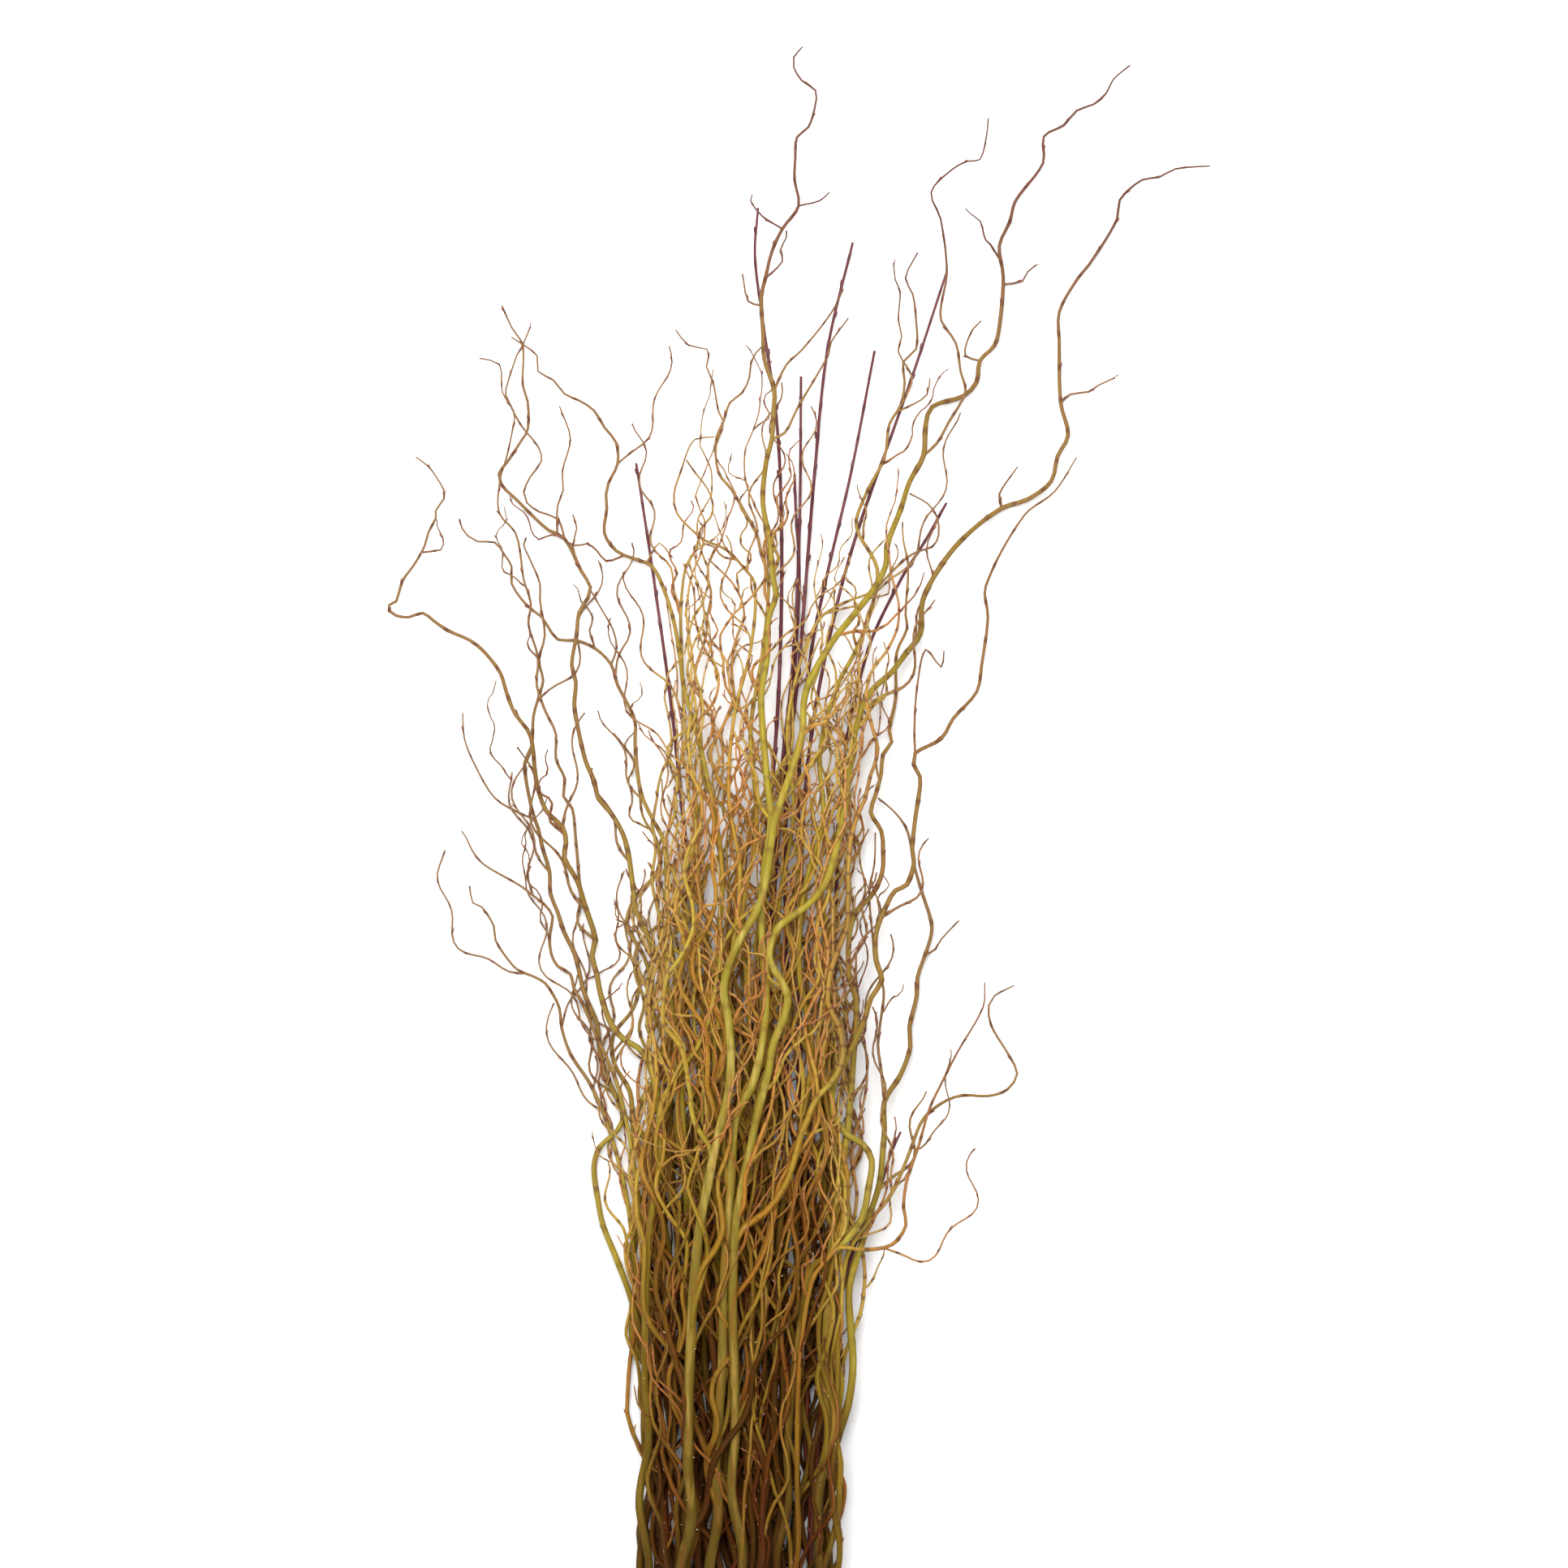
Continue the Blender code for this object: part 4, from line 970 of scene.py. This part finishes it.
def bud_form():
    """The points and faces of one pointed bud, 1 long, along Z from its foot."""
    form = bmesh.new()
    bmesh.ops.create_uvsphere(form, u_segments=5, v_segments=4, radius=0.5)
    bmesh.ops.translate(form, verts=form.verts, vec=(0, 0, 0.5))
    for vert in form.verts:
        narrow = 1 - 0.45 * vert.co.z**2
        vert.co.x *= narrow
        vert.co.y *= narrow
    form.verts.ensure_lookup_table()
    points = np.array([vert.co[:] for vert in form.verts])
    faces = [[vert.index for vert in face.verts] for face in form.faces]
    form.free()
    return points, faces


def bud_mesh(name, strands, straight, shift, form, draw):
    """Buds at the leaf joints, turned a step further round the wood at each one."""
    points, faces = form
    places, slots, facts = [], [], {fact: [] for fact in FACTS}
    for wood in strands:
        line = to_metres(wood["plan"], wood["heights"], shift)
        first, last = math.ceil(wood["joints"][0]), math.floor(wood["joints"][-1])
        for number in range(first, last + 1):
            at = float(np.interp(number, wood["joints"], np.arange(len(line))))
            k = min(int(at), len(line) - 2)
            centre = line[k] + (at - k) * (line[k + 1] - line[k])
            radius = float(np.interp(at, np.arange(len(line)), wood["radii"]))
            scar = radius > BUD_WOOD
            if draw.random() < (SCARS_LOST if scar else BUDS_LOST):
                continue
            ahead = Vector(line[k + 1] - line[k]).normalized()
            across = ahead.orthogonal().normalized()
            around = ahead.cross(across)
            turn = BUD_TURN * number + 7 * wood["tone"][0]
            out = across * math.cos(turn) + around * math.sin(turn)
            long = draw.uniform(*(CANE_BUD if straight else SCAR if scar else WILLOW_BUD))
            wide = min(0.34 * long, 1.5 * radius + 0.0004)
            axis = (ahead + (1.0 if scar else 0.16) * out).normalized()
            side = axis.cross(out).normalized()
            top = side.cross(axis)
            turned = np.column_stack([side * wide, top * wide, axis * long])
            bud = centre + np.array(out) * radius * 0.8 + points @ turned.T
            if bud[:, 2].min() < 0:
                continue
            places.append(bud)
            slots.append(WOOD if scar and draw.random() < PALE_SCARS else BUD)
            for fact in FACTS:
                facts[fact].append(wood[fact][k])
    mesh = bpy.data.meshes.new(name)
    step = len(points)
    every = [[step * k + corner for corner in face] for k in range(len(places)) for face in faces]
    mesh.from_pydata(np.concatenate(places), [], every)
    for fact in FACTS:
        set_facts(mesh, fact, np.repeat(facts[fact], step))
    mesh.polygons.foreach_set("material_index", np.repeat(slots, len(faces)))
    return mesh


def finish_cut_end(form):
    """Gives the cut end its bark rim, its wood and its pith."""
    ends = [face for face in form.faces if face.material_index == CUT]
    wood = bmesh.ops.dissolve_faces(form, faces=ends)["region"][0]
    rim = bmesh.ops.inset_region(form, faces=[wood], thickness=BARK_RIM)["faces"]
    for face in rim:
        face.material_index = BARK
    wood.material_index = WOOD
    width = 2 * (wood.verts[0].co - wood.calc_center_median()).length
    bmesh.ops.inset_region(form, faces=[wood], thickness=PITH_SHARE * width)
    wood.material_index = PITH
    bmesh.ops.translate(form, verts=wood.verts, vec=wood.normal * -PITH_DEPTH)


def build_piece(shape, shift, form, materials):
    """The finished piece that stands for one stem of the frame."""
    number = int(shape["name"][-2:])
    name = f"{'cane' if shape['straight'] else 'willow'}_wood_{number:02d}"
    strands = shape["strands"]
    trunk = tube_mesh("trunk", strands[:1], shift)
    cap = TRUNK_SIDES - 2
    cut = np.zeros(len(trunk.polygons), int)
    cut[cap : 2 * cap] = CUT
    trunk.polygons.foreach_set("material_index", cut)
    meshes = [trunk]
    for count in sorted({wood["sides"] for wood in strands[1:]}):
        alike = [wood for wood in strands[1:] if wood["sides"] == count]
        meshes.append(tube_mesh("twigs", alike, shift))
    draw = random.Random(SEED + 2000 + shape["order"])
    meshes.append(bud_mesh("buds", strands, shape["straight"], shift, form, draw))
    joined = bmesh.new()
    for mesh in meshes:
        joined.from_mesh(mesh)
        bpy.data.meshes.remove(mesh)
    bmesh.ops.remove_doubles(joined, verts=joined.verts, dist=1e-6)
    finish_cut_end(joined)
    whole = bpy.data.meshes.new(name)
    joined.to_mesh(whole)
    joined.free()
    for material in materials:
        whole.materials.append(material)
    whole.shade_smooth()
    whole.set_sharp_from_angle(angle=math.radians(52))
    piece = bpy.data.objects.new(name, whole)
    bpy.context.scene.collection.objects.link(piece)
    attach(piece, "root")
    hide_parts(shape["name"])
    return piece


def srgb(red, green, blue):
    """A colour given as on a screen, from 0 to 255, in the linear values that shaders take."""
    shares = [part / 255 for part in (red, green, blue)]
    linear = [s / 12.92 if s <= 0.04045 else ((s + 0.055) / 1.055) ** 2.4 for s in shares]
    return (*linear, 1.0)


def new_material(name, gloss=None):
    material = bpy.data.materials.new(name)
    material.use_nodes = True
    shader = material.node_tree.nodes["Principled BSDF"]
    if gloss is not None:
        shader.inputs["Specular IOR Level"].default_value = gloss
    return material, material.node_tree, shader


def added(tree, kind, inputs, output=0, **settings):
    """The output of a new shader node whose inputs are linked or set."""
    node = tree.nodes.new("ShaderNode" + kind)
    for name, value in settings.items():
        setattr(node, name, value)
    for name, value in inputs.items():
        if isinstance(value, bpy.types.NodeSocket):
            tree.links.new(value, node.inputs[name])
        else:
            node.inputs[name].default_value = value
    return node.outputs[output]


def attribute(tree, name):
    return added(tree, "Attribute", {}, "Fac", attribute_name=name)


def spread_range(tree, value, low, high, to_low=0.0, to_high=1.0):
    ranges = {"From Min": low, "From Max": high, "To Min": to_low, "To Max": to_high}
    return added(tree, "MapRange", {"Value": value, **ranges}, "Result")


def colour_ramp(tree, value, stops):
    colour = added(tree, "ValToRGB", {"Fac": value}, "Color")
    ramp = colour.node.color_ramp
    while len(ramp.elements) < len(stops):
        ramp.elements.new(0.5)
    for element, (place, tint) in zip(ramp.elements, stops):
        element.position = place
        element.color = srgb(*tint)
    return colour


def mixed(tree, share, one, two, how="MIX"):
    return added(tree, "Mix", {0: share, 6: one, 7: two}, 2, data_type="RGBA", blend_type=how)


def maths(tree, operation, one, two=0.0):
    return added(tree, "Math", {0: one, 1: two}, operation=operation)


def noise(tree, scale, detail=3.0, along=1.0):
    """Noise in the object's space, drawn out along the bunch where along is under 1."""
    place = added(tree, "TexCoord", {}, "Object")
    drawn_out = added(tree, "Mapping", {"Vector": place, "Scale": (1.0, along, 1.0)})
    return added(tree, "TexNoise", {"Vector": drawn_out, "Scale": scale, "Detail": detail}, "Fac")


def specks(tree, scale, size):
    """Small round spots, 1 in their middle."""
    place = added(tree, "TexCoord", {}, "Object")
    distance = added(tree, "TexVoronoi", {"Vector": place, "Scale": scale}, "Distance")
    return spread_range(tree, distance, size, 0.4 * size)


def joint_bands(tree, width):
    """1 at each leaf joint and 0 past the width, which is a share of the way to the next."""
    joints = attribute(tree, "joints")
    off = maths(tree, "ABSOLUTE", maths(tree, "SUBTRACT", joints, maths(tree, "ROUND", joints)))
    return spread_range(tree, off, width, 0.3 * width)


def finish_surface(tree, shader, colour, gloss, grain, strength, depth):
    """Puts colour, gloss and a fine relief on a surface."""
    relief = added(tree, "Bump", {"Strength": strength, "Distance": depth, "Height": grain})
    for name, value in (("Base Color", colour), ("Roughness", gloss), ("Normal", relief)):
        if isinstance(value, bpy.types.NodeSocket):
            tree.links.new(value, shader.inputs[name])
        else:
            shader.inputs[name].default_value = value


def aged_and_shaded(tree, youth, colour):
    """Makes the bark of older wood more golden, and darkens old wood together with painted shade at the
    foot and deep in the pile.
    """
    golden = spread_range(tree, youth, 0.1, -0.5)
    colour = mixed(tree, golden, colour, mixed(tree, 1.0, colour, GOLDEN, "MULTIPLY"))
    # Dark for old bark and for painted shade
    old = spread_range(tree, youth, 0.0, -1.35)
    return mixed(tree, old, colour, mixed(tree, 1.0, colour, OLD_AND_SHADED_BARK, "MULTIPLY"))


def willow_bark():
    """Olive or orange brown bark, and mauve on the young wood towards the tips."""
    material, tree, shader = new_material("curly_willow_bark", gloss=0.14)
    wide, youth = attribute(tree, "thickness"), attribute(tree, "youth")
    thickness = spread_range(tree, wide, 0.0, 12.0)
    olive, orange, mauve = (
        colour_ramp(tree, thickness, stops) for stops in (OLIVE_BARK, ORANGE_BARK, MAUVE_BARK)
    )
    blotches = spread_range(tree, noise(tree, 14.0, 3.0, 0.4), 0.3, 0.7, -0.3, 0.3)
    green = maths(tree, "ADD", attribute(tree, "tone"), blotches)
    colour = mixed(tree, spread_range(tree, green, 0.14, 0.62), orange, olive)
    colour = mixed(tree, spread_range(tree, youth, 0.0, 1.0), colour, mauve)
    streaks = spread_range(tree, noise(tree, 240.0, 3.0, 0.12), 0.38, 0.7, 0.0, 0.55)
    colour = mixed(tree, streaks, colour, mixed(tree, 0.6, colour, srgb(*DARK_STREAKS)))
    thick = spread_range(tree, wide, 5.5, 9.0)
    pale = spread_range(tree, noise(tree, 150.0, 2.0, 0.1), 0.5, 0.68, 0.0, 0.6)
    colour = mixed(tree, maths(tree, "MULTIPLY", pale, thick), colour, srgb(*PALE_STREAKS))
    brown = spread_range(tree, noise(tree, 190.0, 3.0, 0.16), 0.52, 0.66, 0.0, 0.6)
    colour = mixed(tree, maths(tree, "MULTIPLY", brown, thick), colour, srgb(*BROWN_STREAKS))
    shine = maths(tree, "MULTIPLY", specks(tree, 480.0, 0.16), 0.3)
    colour = mixed(tree, shine, colour, srgb(*TAN_SPECKS))
    slim = spread_range(tree, wide, 7.0, 2.0, 0.4, 0.9)
    fresh = spread_range(tree, youth, -0.4, 0.3, 0.12, 1.0)
    bands = maths(tree, "MULTIPLY", maths(tree, "MULTIPLY", joint_bands(tree, 0.12), slim), fresh)
    # Older bark goes golden; old bark and painted shade go dark at the foot and deep in the pile
    colour = aged_and_shaded(tree, youth, mixed(tree, bands, colour, srgb(*WILLOW_JOINT)))
    gloss = spread_range(tree, noise(tree, 70.0), 0.3, 0.7, 0.42, 0.6)
    gloss = maths(tree, "ADD", gloss, spread_range(tree, youth, 0.0, -0.8, 0.0, 0.3))
    finish_surface(tree, shader, colour, gloss, noise(tree, 380.0, 3.0, 0.3), 0.5, 0.001)
    return material


def cane_bark():
    """Dark red brown bark with a faint grey bloom."""
    material, tree, shader = new_material("red_cane_bark", gloss=0.2)
    youth = attribute(tree, "youth")
    colour = colour_ramp(tree, spread_range(tree, attribute(tree, "thickness"), 0.0, 6.0), CANE_BARK)
    bloom = spread_range(tree, noise(tree, 60.0, 3.0, 0.3), 0.45, 0.75, 0.0, 0.35)
    colour = mixed(tree, bloom, colour, srgb(*GREY_BLOOM))
    bands = maths(tree, "MULTIPLY", joint_bands(tree, 0.1), 0.6)
    colour = mixed(tree, bands, colour, srgb(*CANE_JOINT))
    brown = spread_range(tree, youth, 0.0, -0.5)
    # Old bark and painted shade go dark towards the foot
    colour = aged_and_shaded(tree, youth, mixed(tree, brown, colour, srgb(*OLD_CANE)))
    gloss = spread_range(tree, noise(tree, 60.0), 0.3, 0.7, 0.34, 0.52)
    finish_surface(tree, shader, colour, gloss, noise(tree, 400.0, 3.0, 0.3), 0.25, 0.0005)
    return material


def plain_wood(name, light, dark, scale, roughness):
    """A material of two close colours in fine grain."""
    material, tree, shader = new_material(name)
    grain = spread_range(tree, noise(tree, scale, 5.0), 0.35, 0.65)
    colour = mixed(tree, grain, srgb(*dark), srgb(*light))
    finish_surface(tree, shader, colour, roughness, noise(tree, 2 * scale), 0.3, 0.0004)
    return material


def make_floor():
    floor = bmesh.new()
    bmesh.ops.create_grid(floor, x_segments=1, y_segments=1, size=FLOOR_REACH)
    mesh = bpy.data.meshes.new("floor")
    floor.to_mesh(mesh)
    floor.free()
    material, _, shader = new_material("pale_floor", gloss=0.0)
    shader.inputs["Base Color"].default_value = FLOOR_WHITE
    shader.inputs["Roughness"].default_value = 0.9
    mesh.materials.append(material)
    plane = bpy.data.objects.new("floor", mesh)
    bpy.context.scene.collection.objects.link(plane)


def make_light():
    """White light from all round, and one soft lamp over the crown."""
    world = bpy.data.worlds.new("studio")
    world.use_nodes = True
    glow = world.node_tree.nodes["Background"]
    glow.inputs["Color"].default_value = (1.0, 1.0, 1.0, 1.0)
    glow.inputs["Strength"].default_value = WORLD_LIGHT
    bpy.context.scene.world = world
    data = bpy.data.lights.new("key", "AREA")
    data.size = KEY_SIZE
    data.energy = KEY_LIGHT
    lamp = bpy.data.objects.new("key", data)
    bpy.context.scene.collection.objects.link(lamp)
    lamp.location = KEY_PLACE
    lamp.rotation_euler = (Vector(KEY_TARGET) - Vector(KEY_PLACE)).to_track_quat("-Z", "Y").to_euler()


def make_camera(shift):
    """Straight above, with the photo's frame round the same part of the bunch."""
    data = bpy.data.cameras.new("camera")
    data.sensor_width = SENSOR
    data.lens = LENS
    half_frame = 0.5 * PHOTO_SIDE * PIXEL
    high = half_frame / math.tan(math.atan(0.5 * SENSOR / LENS))
    data.clip_start, data.clip_end = 0.1, 100.0
    camera = bpy.data.objects.new("camera", data)
    bpy.context.scene.collection.objects.link(camera)
    middle_y = (PHOTO_BOTTOM - 0.5 * PHOTO_SIDE) * PIXEL - shift[1]
    camera.location = (-shift[0], middle_y, high + PILE_MIDDLE)
    bpy.context.scene.camera = camera
    bpy.context.scene.view_settings.view_transform = "Standard"


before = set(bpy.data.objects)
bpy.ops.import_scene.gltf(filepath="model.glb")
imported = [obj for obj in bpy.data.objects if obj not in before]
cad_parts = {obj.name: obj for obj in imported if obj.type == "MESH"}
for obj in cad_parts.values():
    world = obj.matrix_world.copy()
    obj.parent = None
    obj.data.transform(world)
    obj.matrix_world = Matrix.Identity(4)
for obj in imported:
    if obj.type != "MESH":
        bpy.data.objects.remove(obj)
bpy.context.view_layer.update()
pile = stem_shapes()
ground = np.zeros((MAP_HIGH, MAP_WIDE))
for order, shape in enumerate(pile):
    shape["order"] = order
    tree_of(shape, len(pile))
    lay(shape, ground)
    shape["strands"] = stem_strands(shape, ground)
shift = middle_of(pile)
make_floor()
make_light()
make_camera(shift)
bud = bud_form()
willow_finish = (
    willow_bark(),
    plain_wood("cut_willow_wood", (226, 206, 160), (200, 172, 116), 300.0, 0.7),
    plain_wood("pith", (150, 112, 70), (112, 78, 46), 400.0, 0.85),
    plain_wood("willow_bud", (150, 92, 62), (104, 58, 44), 260.0, 0.45),
)
cane_finish = (
    cane_bark(),
    plain_wood("cut_cane_wood", (222, 198, 158), (190, 160, 118), 300.0, 0.7),
    willow_finish[PITH],
    plain_wood("cane_bud", (112, 62, 62), (72, 34, 40), 260.0, 0.42),
)
for shape in pile:
    build_piece(shape, shift, bud, cane_finish if shape["straight"] else willow_finish)
